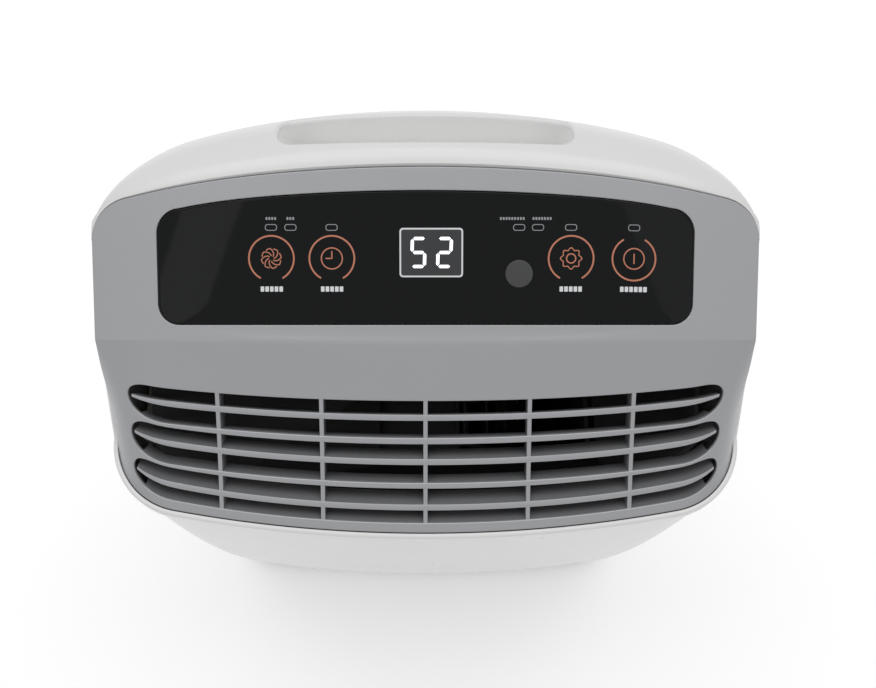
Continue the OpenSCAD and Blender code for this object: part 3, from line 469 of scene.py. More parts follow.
shell_white = surface_look("shell_white_abs", (0.73, 0.73, 0.728), 0.30, grain=2600, bump=0.03, tint=0.006,
                           coat=0.12, coat_rough=0.14)
# the grip recess takes a lighter copy of the shell's white: painted light in the recess, which is the same
# plastic as the shell
pocket_painted_light_white = surface_look("grip_pocket_painted_light_white", (0.93, 0.93, 0.925), 0.38, grain=2600, bump=0.03,
                            tint=0.006)
mask_silver = surface_look("mask_silver_paint", (0.40, 0.405, 0.42), 0.36, metal=0.35, grain=5200, bump=0.10,
                           tint=0.012, coat=0.2, coat_rough=0.25)
slat_silver = surface_look("louvre_silver_paint", (0.40, 0.405, 0.42), 0.38, metal=0.35, grain=5200,
                           bump=0.10, tint=0.012, coat=0.15, coat_rough=0.25)
# the louvres' inner faces take a darker copy of their silver: painted shade inside the slots, not a different
# paint
slat_painted_shade = surface_look("louvre_inner_faces_painted_shade", (0.20, 0.203, 0.21), 0.55, metal=0.1, grain=5200, bump=0.10,
                          tint=0.02)
lens_black = surface_look("lens_black_gloss", (0.004, 0.0045, 0.005), 0.05, grain=400, bump=0.004,
                          spread_rough=0.02, tint=0.05, specular=0.20)
sensor_grey = surface_look("sensor_window_grey", (0.052, 0.053, 0.055), 0.25, grain=1600, bump=0.02)
display_dark = surface_look("display_backing", (0.035, 0.036, 0.038), 0.25, grain=1800, bump=0.02)
print_copper = printed("print_copper_orange", (0.50, 0.185, 0.11), 0.03)
print_white = printed("print_white", (0.62, 0.63, 0.64), 0.12)
print_grey = printed("print_pale_grey", (0.27, 0.28, 0.29), 0.05)
digit_glow = printed("display_digit_glow", (0.92, 0.95, 1.0), 1.1)
duct_dark = surface_look("duct_dark_plastic", (0.010, 0.010, 0.011), 0.7, grain=1500, bump=0.08)

# ---------------------------------------------------------------- front shell
END_ROUND = 0.35
# the bead across the front in section: height over its lower edge, and how far the face stands back there
BEAD = ((-1.0, BEAD_STEP), (-0.35, BEAD_STEP - 0.15), (-0.05, BEAD_STEP - 0.6), (0.02, 1.3), (0.2, 0.55),
        (0.65, 0.12), (1.3, 0.0))
BEAD_TOP = BEAD_Z + BEAD[-1][0]


def front_columns():
    """The front outline with its two ends rounded: x, y, normal and how far the skin is drawn in."""
    end = SPLIT_Y - GAP
    plan = outline(FRONT_TURN, FRONT_R, FRONT_CORNER, FRONT_CY, end, -1, 44, 26, 18)
    ends = [[*plan[0], END_ROUND], [*plan[-1], END_ROUND]]
    return [ends[0]] + [[x, min(y, end - END_ROUND), a, b, 0.0] for x, y, a, b in plan] + [ends[1]]


def rim_height(y):
    """The white rim beside the mask follows the mask's own side."""
    f = fold_at(MASK_HW)
    if y >= f:
        return panel_z(MASK_HW, y) + RIM_PROUD
    share = min(1.0, (y - f) / (front_y(MASK_HW, WALL + GAP) - f))
    return facet_z(panel_z(MASK_HW, f), share) + RIM_PROUD


def front_loop(column):
    """The front shell's wall in section: up the outside, over the rim and down the inside."""
    x, y, nx, ny, inset = column
    rim = rim_height(y) - RIM_DROP * side_share(y)

    def at(z, back, t):
        t = min(t + inset, WALL) if t < 1.2 else t
        py = y - ny * t
        return (x - nx * t, py * (1 - back / HD) if py < 0 else py, z)

    foot = belly(SHELL_Z0)
    loop = [at(SHELL_Z0, foot, 1.2), at(SHELL_Z0 + 0.35, foot, 0.35)]
    loop += [at(z, belly(z), 0) for z in spread(SHELL_Z0 + 1.2, BEAD_Z - 2.2, 22)]
    loop += [at(BEAD_Z + dz, back, 0) for dz, back in BEAD]
    loop += [at(BEAD_TOP + (rim - RIM_R - BEAD_TOP) * k, 0, 0) for k in (0.15, 0.4, 0.7, 0.9)]
    loop += [at(rim - RIM_R + RIM_R * math.sin(a), 0, RIM_R * (1 - math.cos(a)))
             for a in spread(0, math.pi / 2, 5)]
    loop += [at(rim, 0, WALL - 0.45), at(rim - 0.15, 0, WALL - 0.12), at(rim - 0.45, 0, WALL)]
    loop += [at(BEAD_Z + 1.5 + (rim - 1 - BEAD_Z - 1.5) * k, 0, WALL) for k in (0.9, 0.4, 0)]
    loop += [at(z, belly(z), WALL) for z in spread(BEAD_Z - 2, SHELL_Z0, 10)]
    return loop


v, f = swept([front_loop(column) for column in front_columns()])
add("front_shell", v, f, shell_white, "root", "white_shell", ["front_housing"], sharp=50)

# ---------------------------------------------------------------- rear shell with the grip recess
rear_line = np.array(outline(REAR_TURN, REAR_R, REAR_CORNER, REAR_CY, SPLIT_Y, 1, 40, 34, 2))
rear_len = np.concatenate([[0], np.cumsum(np.linalg.norm(np.diff(rear_line[:, :2], axis=0), axis=1))])
REAR_TOTAL = rear_len[-1]
REAR_T = 2.2
# the shell's domain: s along the outline, v up the wall, over the shoulder, round the lip and down its inside
V_WALL, V_CAP, V_LIP, V_SKIRT = 375.0, 76.0, 5.0, 4.5
V_END = V_WALL + V_CAP + V_LIP + V_SKIRT
FOOT_DROP, FOOT_FALL, FOOT_POWER = 51.5, 54.0, 8.5
TOP_RISE, TOP_FALL = 4.0, 4.1
LIP_R, LIP_R_LOSS = 3.6, 2.3
EDGE_EASE = 0.1
NORMAL_STEP, HELD_WITHIN = 0.6, 0.05


def shoulder_foot(u):
    """Height where the wall starts to lean in: highest in the middle, lowest and level at the split line."""
    return BODY_H - FOOT_DROP - FOOT_FALL * (1 - (1 - abs(u) ** FOOT_POWER) ** 2)


def rear_at(s):
    return np.array([np.interp(s, rear_len, rear_line[:, k]) for k in range(4)])


def rear_base(s, v):
    """The rear shell's outer face."""
    e = rear_at(s)
    u = 2 * s / REAR_TOTAL - 1
    x = (MASK_HW + GAP) * math.sin(math.pi / 2 * abs(u)) * (1 - EDGE_EASE * math.cos(math.pi / 2 * u) ** 2)
    x = math.copysign(x, u)
    q = np.array([widened(x), edge_y(x) + GAP])
    top = panel_z(x, edge_y(x)) + TOP_RISE - TOP_FALL * u * u
    foot = shoulder_foot(u)
    if v <= V_WALL:
        return np.array([e[0], e[1], SHELL_Z0 + (foot - SHELL_Z0) * v / V_WALL])
    away = e[:2] - q
    away /= np.linalg.norm(away)
    r = LIP_R - LIP_R_LOSS * abs(u) ** 1.5
    start = q + away * r
    if v <= V_WALL + V_CAP:
        a = math.pi / 2 * (v - V_WALL) / V_CAP
        xy = e[:2] + (start - e[:2]) * (1 - math.cos(a))
        return np.array([xy[0], xy[1], foot + (top - foot) * math.sin(a)])
    if v <= V_WALL + V_CAP + V_LIP:
        a = math.pi / 2 * (v - V_WALL - V_CAP) / V_LIP
        xy = q + away * (r - r * math.sin(a))
        return np.array([xy[0], xy[1], top - r * (1 - math.cos(a))])
    return np.array([q[0], q[1], top - r - (v - V_WALL - V_CAP - V_LIP)])


def rear_surface(s, v, d):
    """The rear shell at depth d under its outer face."""
    p = rear_base(s, v)
    if d == 0:
        return p
    h = NORMAL_STEP
    if v <= V_WALL - h:
        e = rear_at(s)
        return p - np.array([e[2], e[3], 0]) * d
    s0, s1 = max(0.0, s - h), min(REAR_TOTAL, s + h)
    n = np.cross(rear_base(s0, v) - rear_base(s1, v), rear_base(s, v - h) - rear_base(s, v + h))
    length = np.linalg.norm(n)
    if length < 1e-9:
        return p
    # the direction is poorly defined where the lip meets the split line, so the skin is held within the body
    inner = p + n / length * d
    inner[0] = max(-HW + HELD_WITHIN, min(HW - HELD_WITHIN, inner[0]))
    return inner


def rear_s(x):
    """Distance along the rear outline at which it reaches x."""
    return float(np.interp(x, rear_line[:, 0], rear_len))


def wall_v(z, s):
    """The domain height of a point at height z on the wall."""
    u = 2 * s / REAR_TOTAL - 1
    return V_WALL * (z - SHELL_Z0) / (shoulder_foot(u) - SHELL_Z0)


def on_shoulder(x, y):
    """The domain point of the rear shell above a plan point, found by Newton steps."""
    s, v = rear_s(x * 1.02), V_WALL + V_CAP * 0.6
    for _ in range(14):
        p = rear_base(s, v)
        ds = (rear_base(s + 0.5, v) - rear_base(s - 0.5, v))[:2]
        dv = (rear_base(s, v + 0.5) - rear_base(s, v - 0.5))[:2]
        step = np.linalg.solve(np.stack([ds, dv], 1), np.array([x, y]) - p[:2])
        s, v = s + float(step[0]), min(V_WALL + V_CAP - 1, max(V_WALL + 1, v + float(step[1])))
    return [s, v]


def wall_hole(loop):
    """An opening in the rear wall, from its outline in x and z."""
    return [[rear_s(x), wall_v(z, rear_s(x))] for x, z in loop]


def rear_edge():
    """The rear shell's own edge, with the tank's opening cut up into its foot."""
    a, b = rear_s(TANK_X0 - TANK_SIDE_GAP), rear_s(TANK_X1 + TANK_SIDE_GAP)
    top, r = wall_v(TANK_Z1 + TANK_TOP_GAP, (a + b) / 2), TANK_CORNER
    opening = [[a + r - r * math.cos(t), top - r + r * math.sin(t)] for t in spread(0, math.pi / 2, 5)]
    opening += [[b - r + r * math.cos(t), top - r + r * math.sin(t)] for t in spread(math.pi / 2, 0, 5)]
    around = [[REAR_TOTAL, 0], [REAR_TOTAL, V_END], [0, V_END], [0, 0]]
    return refine(around + [[a, 0]] + opening + [[b, 0]], 4.0)


grip_outline = refine(rounded_rect(-CUP_HW, CUP_HW, CUP_Y[0], CUP_Y[1], CUP_R, 6), 4.0)
grip_hole = [on_shoulder(x, y) for x, y in grip_outline]
grille_outline = rounded_rect(-GRILLE_HW - GAP, GRILLE_HW + GAP, GRILLE_Z0 - GAP, GRILLE_Z1 + GAP, 4, 5)
openings = [grip_hole, wall_hole(refine(grille_outline, 5.0)),
            wall_hole(circle(GLAND_X, GLAND_Z, GLAND_HOLE, 36)),
            wall_hole(circle(SPIGOT_X, SPIGOT_Z, SPIGOT_HOLE, 36))]
v, f = cut_sheet(rear_surface, [rear_edge()], openings, step=5.0, edge=0.35, thick=REAR_T,
                 hole_edges=[1.6, 0.5, 0.5, 0.3], margin=0.35)
add("rear_shell", v, f, shell_white, "root", "white_shell", ["rear_housing"], sharp=50)

# ---------------------------------------------------------------- grip pocket
CUP_FLOOR_R, CUP_FLAT, CUP_T, CUP_LAP = 3.0, 8.0, 1.8, 1.6
CUP_SKIN, CUP_BELOW = 1.75, 3.4


def grip_row(inset, z=None, below_rim=0.0):
    """The grip outline drawn in by an inset, level at z or else at a distance below the shoulder."""
    middle, half = sum(CUP_Y) / 2, (CUP_Y[1] - CUP_Y[0]) / 2
    row = []
    for (x, y), (s, v) in zip(grip_outline, grip_hole):
        height = rear_base(s, v)[2] - below_rim if z is None else z
        row.append((x * (CUP_HW - inset) / CUP_HW, middle + (y - middle) * (half - inset) / half, height))
    return row


def grip_pocket():
    """Rows from the shoulder down to a rounded floor, then back up the outside."""
    r, n = CUP_FLOOR_R, len(grip_outline)
    cup = [[tuple(rear_surface(s, v, CUP_SKIN)) for s, v in grip_hole]]
    cup += [grip_row(0.1 + r * (1 - math.cos(a)), CUP_Z + r - r * math.sin(a))
            for a in spread(0, math.pi / 2, 6)]
    cup.append(grip_row(CUP_FLAT, CUP_Z))
    back = [grip_row(CUP_FLAT, CUP_Z - CUP_T), grip_row(-CUP_LAP, CUP_Z - CUP_LAP),
            grip_row(-CUP_LAP, below_rim=CUP_BELOW)]
    rows = cup + back
    faces = []
    for i in range(len(rows)):
        if i == len(cup) - 1:
            continue
        a, b = i * n, (i + 1) % len(rows) * n
        faces += [(a + k, a + (k + 1) % n, b + (k + 1) % n, b + k) for k in range(n)]
    faces.append(tuple((len(cup) - 1) * n + k for k in range(n)))
    faces.append(tuple(len(cup) * n + k for k in reversed(range(n))))
    return [p for row in rows for p in row], faces


v, f = grip_pocket()
add("grip_pocket", v, f, pocket_painted_light_white, "root", "white_shell", ["handle_insert"], sharp=50)

# ---------------------------------------------------------------- mask, its slots, slats and ribs
# each slot's upper edge, lower edge and tip, as shares of the way down the facet
SLOTS = [(0.287, 0.480, 0.336), (0.515, 0.723, 0.584), (0.756, 0.944, 0.827)]
# each slat's place on the same scale, and its angle of dip; then each slot's sill
SLATS = [(0.374, 26), (0.610, 42), (0.859, 50)]
SILL_ANGLES = (26, 35, 44)
RIB_X = (-98.0, -49.0, 0.0, 49.0, 98.0)
TIP_X, SLOT_TOP_X, SLOT_LOW_X = 141.2, 132, 122
# the upper corner heads for this x, at the height that the upper edge has at the second x
TURN_X, TURN_LIFT_X = 140.4, 136
LIFT_SPAN, LOW_LIFT = 141, 0.012


def lift(x, amount=0.030):
    """How far the slots curve up towards their ends."""
    return amount * (abs(x) / LIFT_SPAN) ** 4


def bend(p, c, q, ts):
    """Points of a quadratic curve that leaves p towards c and arrives at q."""
    return [[(1 - t) ** 2 * p[k] + 2 * t * (1 - t) * c[k] + t * t * q[k] for k in (0, 1)] for t in ts]


def low_corner(s1, tip, ts):
    """The curve from a slot's tip to the straight of its lower edge."""
    return bend([TIP_X, tip], [TIP_X + 0.5, s1 - 0.006], [SLOT_LOW_X, s1 - lift(SLOT_LOW_X, LOW_LIFT)], ts)


def slot_loop(s0, s1, tip):
    top = [[x, s0 - lift(x)] for x in spread(-SLOT_TOP_X, SLOT_TOP_X, 60)]
    end = bend(top[-1], [TURN_X, s0 - lift(TURN_LIFT_X)], [TIP_X, tip], spread(0, 1, 9))[1:]
    low = low_corner(s1, tip, spread(0, 1, 12))[1:]
    bottom = [[x, s1 - lift(x, LOW_LIFT)] for x in spread(120, 0, 30)]
    right = [p for p in top if p[0] > 0.01] + end + low + bottom[:-1]
    left = [[-x, s] for x, s in reversed(right)]
    return [[x, -s * FACET_LEN] for x, s in [[0.0, s0]] + right + [[0.0, s1]] + left]


def slot_floor(k, x):
    """The lower edge of slot k at x, following the curve of its corner."""
    _, s1, tip = SLOTS[k]
    if abs(x) <= SLOT_LOW_X:
        return s1 - lift(x, LOW_LIFT)
    curve = low_corner(s1, tip, spread(1, 0, 24))
    return float(np.interp(abs(x), [p[0] for p in curve], [p[1] for p in curve]))


LENS_LOW_R, LENS_HIGH_R, LENS_HIGH_DROP, LENS_TOP_X, LENS_BOW = 10, 11, 18.5, 112, 1900


def lens_loop(grow):
    """The lens outline, larger all round by the given amount."""
    a, low, high = LENS_HALF + grow, LENS_W0 - grow, LENS_W1 + grow
    r = LENS_LOW_R
    ends = [[a - r + r * math.cos(t), low + r + r * math.sin(t)] for t in spread(-math.pi / 2, 0, 9)]
    r = LENS_HIGH_R
    ends += [[a - r + r * math.cos(t), high - LENS_HIGH_DROP + r * math.sin(t)]
             for t in spread(0, math.radians(76), 9)]
    top = [[x, high - x * x / LENS_BOW - 0.8 * (abs(x) / LENS_TOP_X) ** 8]
           for x in spread(LENS_TOP_X, -LENS_TOP_X, 60)]
    return ends + top + [[-x, w] for x, w in reversed(ends)]


def lens_on_mask(x, w):
    """The mask's own domain point under a point on the panel."""
    y = FOLD_Y + w * math.cos(SLOPE)
    t = (y - edge_y(x)) / (fold_at(x) - edge_y(x))
    return [x, (1 - t) * PANEL_LEN]


edge = refine([[-MASK_HW, -FACET_LEN], [MASK_HW, -FACET_LEN], [MASK_HW, PANEL_LEN],
               [-MASK_HW, PANEL_LEN]], 2.5)
# the points of the long sides are gathered towards the ends, where the mask curves most
GATHER = 0.35
edge = [[MASK_HW * math.sin(math.pi / 2 * x / MASK_HW) * GATHER + x * (1 - GATHER), v] for x, v in edge]
holes = [slot_loop(*s) for s in SLOTS] + [[lens_on_mask(x, w) for x, w in lens_loop(0.35)]]
v, f = cut_sheet(mask_surface, [edge], holes, step=3.6, edge=0.5, thick=MASK_T,
                 hole_edges=[0.6, 0.6, 0.6, 0.4], margin=0.35, creases=(0.0,))
add("mask_face", v, f, mask_silver, "root", "silver_mask", ["outlet_mask"], sharp=42)


def facet_axes(x, s):
    """The facet's point at share s, and its direction down the slope there."""
    a, b = mask_point(x, 1 + s - 0.004), mask_point(x, 1 + s + 0.004)
    return mask_point(x, 1 + s), (b - a) / np.linalg.norm(b - a)


def dip(angle):
    """The direction into the duct at an angle below level."""
    return np.array([0.0, math.sin(math.radians(angle)), -math.cos(math.radians(angle))])


SLAT_DEPTH, SLAT_LEAD, SLAT_HALF, SLAT_END_X = 13.0, 0.12, 1.5, 139.5
THIN_FROM, THIN_BY = 118, 0.75
# the slat's rounded nose: how far in from its side, and how far back
NOSE = ((0.35, 0.0), (0.08, 0.14), (0.0, 0.45))


def slat_section(x, s, angle):
    """One slat in section: a rounded nose that narrows towards the back, thinner near the slot's ends."""
    p, down = facet_axes(x, s - lift(x))
    half = SLAT_HALF
    if abs(x) >= THIN_FROM:
        half -= THIN_BY * ((abs(x) - THIN_FROM) / (SLAT_END_X - THIN_FROM)) ** 1.6
    rear = 0.55 * min(1.0, half / 1.4)
    upper = [p - down * (half - side) + NORMAL_IN * (SLAT_LEAD + back) for side, back in NOSE]
    lower = [p + down * (half - side) + NORMAL_IN * (SLAT_LEAD + back) for side, back in NOSE[::-1]]
    g = dip(angle) * SLAT_DEPTH
    return upper + [p - down * rear + g, p + down * rear + g] + lower


SILL_DEPTH, SILL_T, SILL_LIP, SILL_END_X = 12, 1.1, 1.4, 136
SILL_CLEAR, SILL_FACE, SILL_HEEL = 0.12, 1.0, 1.9


def sill_section(k, x, angle):
    """The sill under slot k: a shelf that leads back from the slot's lower edge."""
    p, down = facet_axes(x, slot_floor(k, x))
    p = p + down * SILL_CLEAR
    g, lip = dip(angle) * SILL_DEPTH, down * SILL_LIP
    return [p + NORMAL_IN * SILL_FACE, p + g, p + g + down * SILL_T, p + NORMAL_IN * SILL_HEEL + lip,
            p + NORMAL_IN * SILL_FACE + lip]


# a rib in section: offset across and depth, from its rounded face to its thinner back
RIB_SECTION = ((-1.05, 0.62), (-0.95, 0.34), (-0.7, 0.22), (0.7, 0.22), (0.95, 0.34), (1.05, 0.62),
               (0.8, 12), (-0.8, 12))
RIB_LAP = 0.018


def rib(x, s0, s1):
    """A rib across one slot, buried a little at both ends."""
    loops = []
    for s in spread(s0 - RIB_LAP - lift(x), s1 + RIB_LAP, 10):
        p = mask_point(x, 1 + s)
        loops.append([p + np.array([dx, 0, 0]) + NORMAL_IN * d for dx, d in RIB_SECTION])
    return swept(loops)


# faces of the louvres turned away from the front take the darker copy of the silver, painting shade into the
# slots
def add_louvre(name, mesh):
    add(name, *mesh, slat_silver, "root", "silver_mask", sharp=40, behind=slat_painted_shade)


for k, (s, angle) in enumerate(SLATS):
    mesh = swept([slat_section(x, s, angle) for x in spread(-SLAT_END_X, SLAT_END_X, 92)])
    add_louvre(f"louvre_slat_{k + 1}", mesh)
for k, angle in enumerate(SILL_ANGLES):
    mesh = swept([sill_section(k, x, angle) for x in spread(-SILL_END_X, SILL_END_X, 90)])
    add_louvre(f"slot_sill_{k + 1}", mesh)
add_louvre("louvre_ribs", joined([rib(x, s0, s1) for x in RIB_X for s0, s1, _ in SLOTS]))

# ---------------------------------------------------------------- control panel
SENSOR_X, SENSOR_W, SENSOR_R, SENSOR_GAP = 43.0, 32.8, 6.4, 0.12
SENSOR_PROUD, SENSOR_DOME = 0.12, 0.012
KEY_X, KEY_W, KEY_R, POWER_R = (-70.6, -42.9, 66.7, 95.6), 39.8, 10.3, 9.95
LINE, ICON_LINE = 0.78, 0.58
LENS_T, INK_T = 1.6, 0.08


def above_panel(height):
    """A surface that lies at a height over the control panel."""
    return lambda x, w, d: panel_surface(x, w, height - d)


def sensor_surface(x, w, d):
    """The sensor window bulges very slightly."""
    r2 = (x - SENSOR_X) ** 2 + (w - SENSOR_W) ** 2
    return panel_surface(x, w, LENS_PROUD + SENSOR_PROUD - SENSOR_DOME * r2 / 2 - d)


sensor_hole = circle(SENSOR_X, SENSOR_W, SENSOR_R + SENSOR_GAP, 48)
v, f = cut_sheet(above_panel(LENS_PROUD), [lens_loop(0)], [sensor_hole], step=4.0, edge=0.45, thick=LENS_T,
                 rounds=4, hole_edges=[0.12])
add("panel_lens", v, f, lens_black, "root", "black_lens", ["control_lens"], sharp=42)
v, f = cut_sheet(sensor_surface, [circle(SENSOR_X, SENSOR_W, SENSOR_R, 48)], [], step=1.6, edge=0.25,
                 thick=LENS_T)
add("sensor_disc", v, f, sensor_grey, "root", "sensor_grey", ["sensor_window"], sharp=42)


def print_on_lens(name, shapes, material, slot, holes=(), lift_mm=0.03, step=2.0):
    """Flat shapes printed on the lens, standing over it by a hair."""
    v, f = cut_sheet(above_panel(LENS_PROUD + lift_mm), shapes, list(holes), step, edge=0.0, thick=INK_T)
    add(name, v, f, material, "root", slot, sharp=50)


def bar(x0, x1, w0, w1, r=0.25):
    return rounded_rect(x0, x1, w0, w1, r, 3)


# touch rings: the gap is at the bottom on three, at the top on the power key
print_on_lens("key_rings", [arc_band(x, KEY_W, KEY_R, LINE, -61, 241, 64) for x in KEY_X[:3]]
              + [arc_band(KEY_X[3], KEY_W, POWER_R, LINE, 119, 421, 64)], print_copper, "led_white")


def stroke(line, width):
    """A closed outline round a centreline."""
    p = np.array(line, float)
    d = np.gradient(p, axis=0)
    d /= np.linalg.norm(d, axis=1)[:, None]
    side = np.stack([-d[:, 1], d[:, 0]], 1) * width / 2
    return [list(q) for q in p + side] + [list(q) for q in (p - side)[::-1]]


def polar(cx, r, angle):
    """A point round a key's middle."""
    return [cx + r * math.cos(math.radians(angle)), KEY_W + r * math.sin(math.radians(angle))]


def gear(cx, r):
    """A wheel with eight soft teeth."""
    return [polar(cx, r + 0.5 * math.cos(math.radians(8 * a)), a) for a in range(0, 360, 5)]


def fan_swirl(cx):
    """Eight curved arms, each with a hooked end."""
    arms = []
    for turn in range(0, 360, 45):
        arm = [polar(cx, 1.1 + 3.5 * k, turn + 52 * k) for k in spread(0, 1, 10)]
        arm += [polar(cx, 4.6 - 0.25 * k, turn + 52 + 27 * k) for k in spread(0, 1, 6)[1:]]
        arms.append(stroke(arm, 0.5))
    return arms


CLOCK_R, HUB_R, GEAR_R, DIAL_R = 5.1, 2.4, 4.65, 5.0
FAN_X, CLOCK_X, GEAR_X, DIAL_X = KEY_X
h = ICON_LINE / 2
icons = fan_swirl(FAN_X)
icons += [circle(CLOCK_X, KEY_W, CLOCK_R, 44), circle(GEAR_X, KEY_W, HUB_R, 28), gear(GEAR_X, GEAR_R),
          circle(DIAL_X, KEY_W, DIAL_R, 48)]
icons += [bar(CLOCK_X - h, CLOCK_X + h, KEY_W - h, KEY_W + 3.4),
          bar(CLOCK_X - 2.9, CLOCK_X - h - 0.12, KEY_W - h, KEY_W + h),
          bar(DIAL_X - h, DIAL_X + h, KEY_W - 2.4, KEY_W + 2.4)]
icon_holes = [circle(CLOCK_X, KEY_W, CLOCK_R - ICON_LINE, 44), circle(GEAR_X, KEY_W, HUB_R - ICON_LINE, 24),
              gear(GEAR_X, GEAR_R - ICON_LINE), circle(DIAL_X, KEY_W, DIAL_R - ICON_LINE, 48)]
print_on_lens("key_icons", icons, print_copper, "led_white", icon_holes, step=1.4)

# small lozenges that show which setting is on
PILL_X, PILL_HALF, PILL_W, PILL_R = (-70.6, -61.7, -42.9, 42.8, 51.4, 66.5, 95.4), 2.75, (52.4, 55.4), 1.2


def pill(x, inset, r):
    half = PILL_HALF - inset
    return rounded_rect(x - half, x + half, PILL_W[0] + inset, PILL_W[1] - inset, r, 4)


print_on_lens("indicator_outlines", [pill(x, 0.0, PILL_R) for x in PILL_X], print_grey, "led_white",
              [pill(x, 0.35, PILL_R - 0.3) for x in PILL_X])


def bar_row(x, count, pitch, w0, w1, gap):
    """A centred row of plain bars that stands where a word would be."""
    left, r = x - count * pitch / 2 + gap / 2, min(0.25, (pitch - gap) / 3)
    return [bar(left + pitch * i, left + pitch * (i + 1) - gap, w0, w1, r) for i in range(count)]


marks = [b for x, count in zip(KEY_X, (5, 5, 5, 6)) for b in bar_row(x, count, 2.15, 24.6, 27.0, 0.5)]
print_on_lens("key_label_bars", marks, print_white, "led_white")
GROUPS = ((-70.6, 4), (-61.7, 3), (39.6, 9), (53.2, 7))
small = [b for x, count in GROUPS for b in bar_row(x, count, 1.3, 57.3, 58.6, 0.4)]
print_on_lens("indicator_label_bars", small, print_grey, "led_white")

# display: x and w of its outline, then of its digits
DISP, DISP_LINE, DISP_R = (-11.9, 17.2, 31.2, 53.7), 0.75, 1.6
DIGIT_W, DIGIT_X = (35.4, 49.6), ((-7.1, 0.2), (4.8, 12.2))
inside = rounded_rect(DISP[0] + DISP_LINE, DISP[1] - DISP_LINE, DISP[2] + DISP_LINE, DISP[3] - DISP_LINE,
                      1.0, 5)
print_on_lens("display_field", [rounded_rect(*DISP, DISP_R, 5)], display_dark, "display_dark", lift_mm=0.02)
print_on_lens("display_outline", [rounded_rect(*DISP, DISP_R, 5)], print_white, "display_dark", [inside],
              lift_mm=0.05)


def digit(segments, x0, x1, t=1.45, slant=0.03):
    """The lit segments of one figure, pointed at both ends, the whole leaning a little."""
    w0, w1 = DIGIT_W
    mid, h = (w0 + w1) / 2, t / 2
    lines = {"a": ((x0 + h, w1 - h), (x1 - h, w1 - h)), "g": ((x0 + h, mid), (x1 - h, mid)),
             "d": ((x0 + h, w0 + h), (x1 - h, w0 + h)), "f": ((x0 + h, mid), (x0 + h, w1 - h)),
             "b": ((x1 - h, mid), (x1 - h, w1 - h)), "e": ((x0 + h, w0 + h), (x0 + h, mid)),
             "c": ((x1 - h, w0 + h), (x1 - h, mid))}
    out = []
    for s in segments:
        a, b = np.array(lines[s])
        d = (b - a) / np.linalg.norm(b - a)
        side = np.array([-d[1], d[0]])
        a, b = a + d * 0.34, b - d * 0.26
        pts = [a, a + d * h + side * h, b - d * h + side * h, b, b - d * h - side * h, a + d * h - side * h]
        out.append([[p[0] + slant * (p[1] - w0), p[1]] for p in pts])
    return out


print_on_lens("display_digits", digit("afgcd", *DIGIT_X[0]) + digit("abged", *DIGIT_X[1]), digit_glow,
              "led_white", lift_mm=0.06, step=1.0)

# ---------------------------------------------------------------- rear intake grille
COLS, ROWS, SIDE_RIM, END_RIM = 22, 5, 5, 4
GRILLE_R, SLOT_SHARE, BAR_HALF, SLOT_R = 3.8, 0.27, 2, 1.9
GRILLE_T, GRILLE_SET_BACK = 2.6, 0.4


def grille_surface(x, z, d):
    """The cover follows the rear of the body, a little below its surface."""
    return np.array([x, rear_y(x, GRILLE_SET_BACK + d), z])


pitch, tall = 2 * (GRILLE_HW - SIDE_RIM) / COLS, (GRILLE_Z1 - GRILLE_Z0 - 2 * END_RIM) / ROWS
slots = []
for i in range(COLS):
    for k in range(ROWS):
        cx, z0 = -GRILLE_HW + SIDE_RIM + (i + 0.5) * pitch, GRILLE_Z0 + END_RIM + k * tall
        slot = rounded_rect(cx - pitch * SLOT_SHARE, cx + pitch * SLOT_SHARE, z0 + BAR_HALF,
                            z0 + tall - BAR_HALF, SLOT_R, 4)
        slots.append(refine(slot, 6.0))
cover = refine(rounded_rect(-GRILLE_HW, GRILLE_HW, GRILLE_Z0, GRILLE_Z1, GRILLE_R, 5), 4.0)
v, f = cut_sheet(grille_surface, [cover], slots, step=6.0, edge=0.6, thick=GRILLE_T,
                 hole_edges=[0.5] * len(slots))
add("intake_grille_cover", v, f, shell_white, "intake", "white_shell", ["intake_grille"], sharp=45)


# ---------------------------------------------------------------- materials of the frame's own nodes
def net_look():
    """A woven net: two crossing sets of bands."""
    m, nt, b = tree("filter_net_weave")
    w1 = texture(nt, WAVE, 330.0, 0.0)
    w2 = texture(nt, WAVE, 330.0, 0.0)
    w1.bands_direction, w2.bands_direction = "X", "Z"
    top = nt.nodes.new("ShaderNodeMath")
    top.operation = "MAXIMUM"
    nt.links.new(w1.outputs["Fac"], top.inputs[0])
    nt.links.new(w2.outputs["Fac"], top.inputs[1])
    ramp = nt.nodes.new("ShaderNodeValToRGB")
    ramp.color_ramp.elements[0].color = (0.012, 0.012, 0.013, 1)
    ramp.color_ramp.elements[0].position = 0.45
    ramp.color_ramp.elements[1].color = (0.16, 0.165, 0.17, 1)
    ramp.color_ramp.elements[1].position = 0.75
    nt.links.new(top.outputs[0], ramp.inputs["Fac"])
    nt.links.new(ramp.outputs["Color"], b.inputs["Base Color"])
    vary(nt, top.outputs[0], b.inputs["Roughness"], 0.6, 0.8)
    relief(nt, b, top.outputs[0], 0.6, 0.0005)
    return m


def smoke_look():
    """The tank's tinted clear plastic."""
    m = surface_look("tank_smoke_clear", (0.42, 0.46, 0.50), 0.16, grain=500, bump=0.03, spread_rough=0.05,
                     coat=0.2)
    b = m.node_tree.nodes["Principled BSDF"]
    b.inputs["Transmission Weight"].default_value = 0.45
    b.inputs["IOR"].default_value = 1.49
    return m


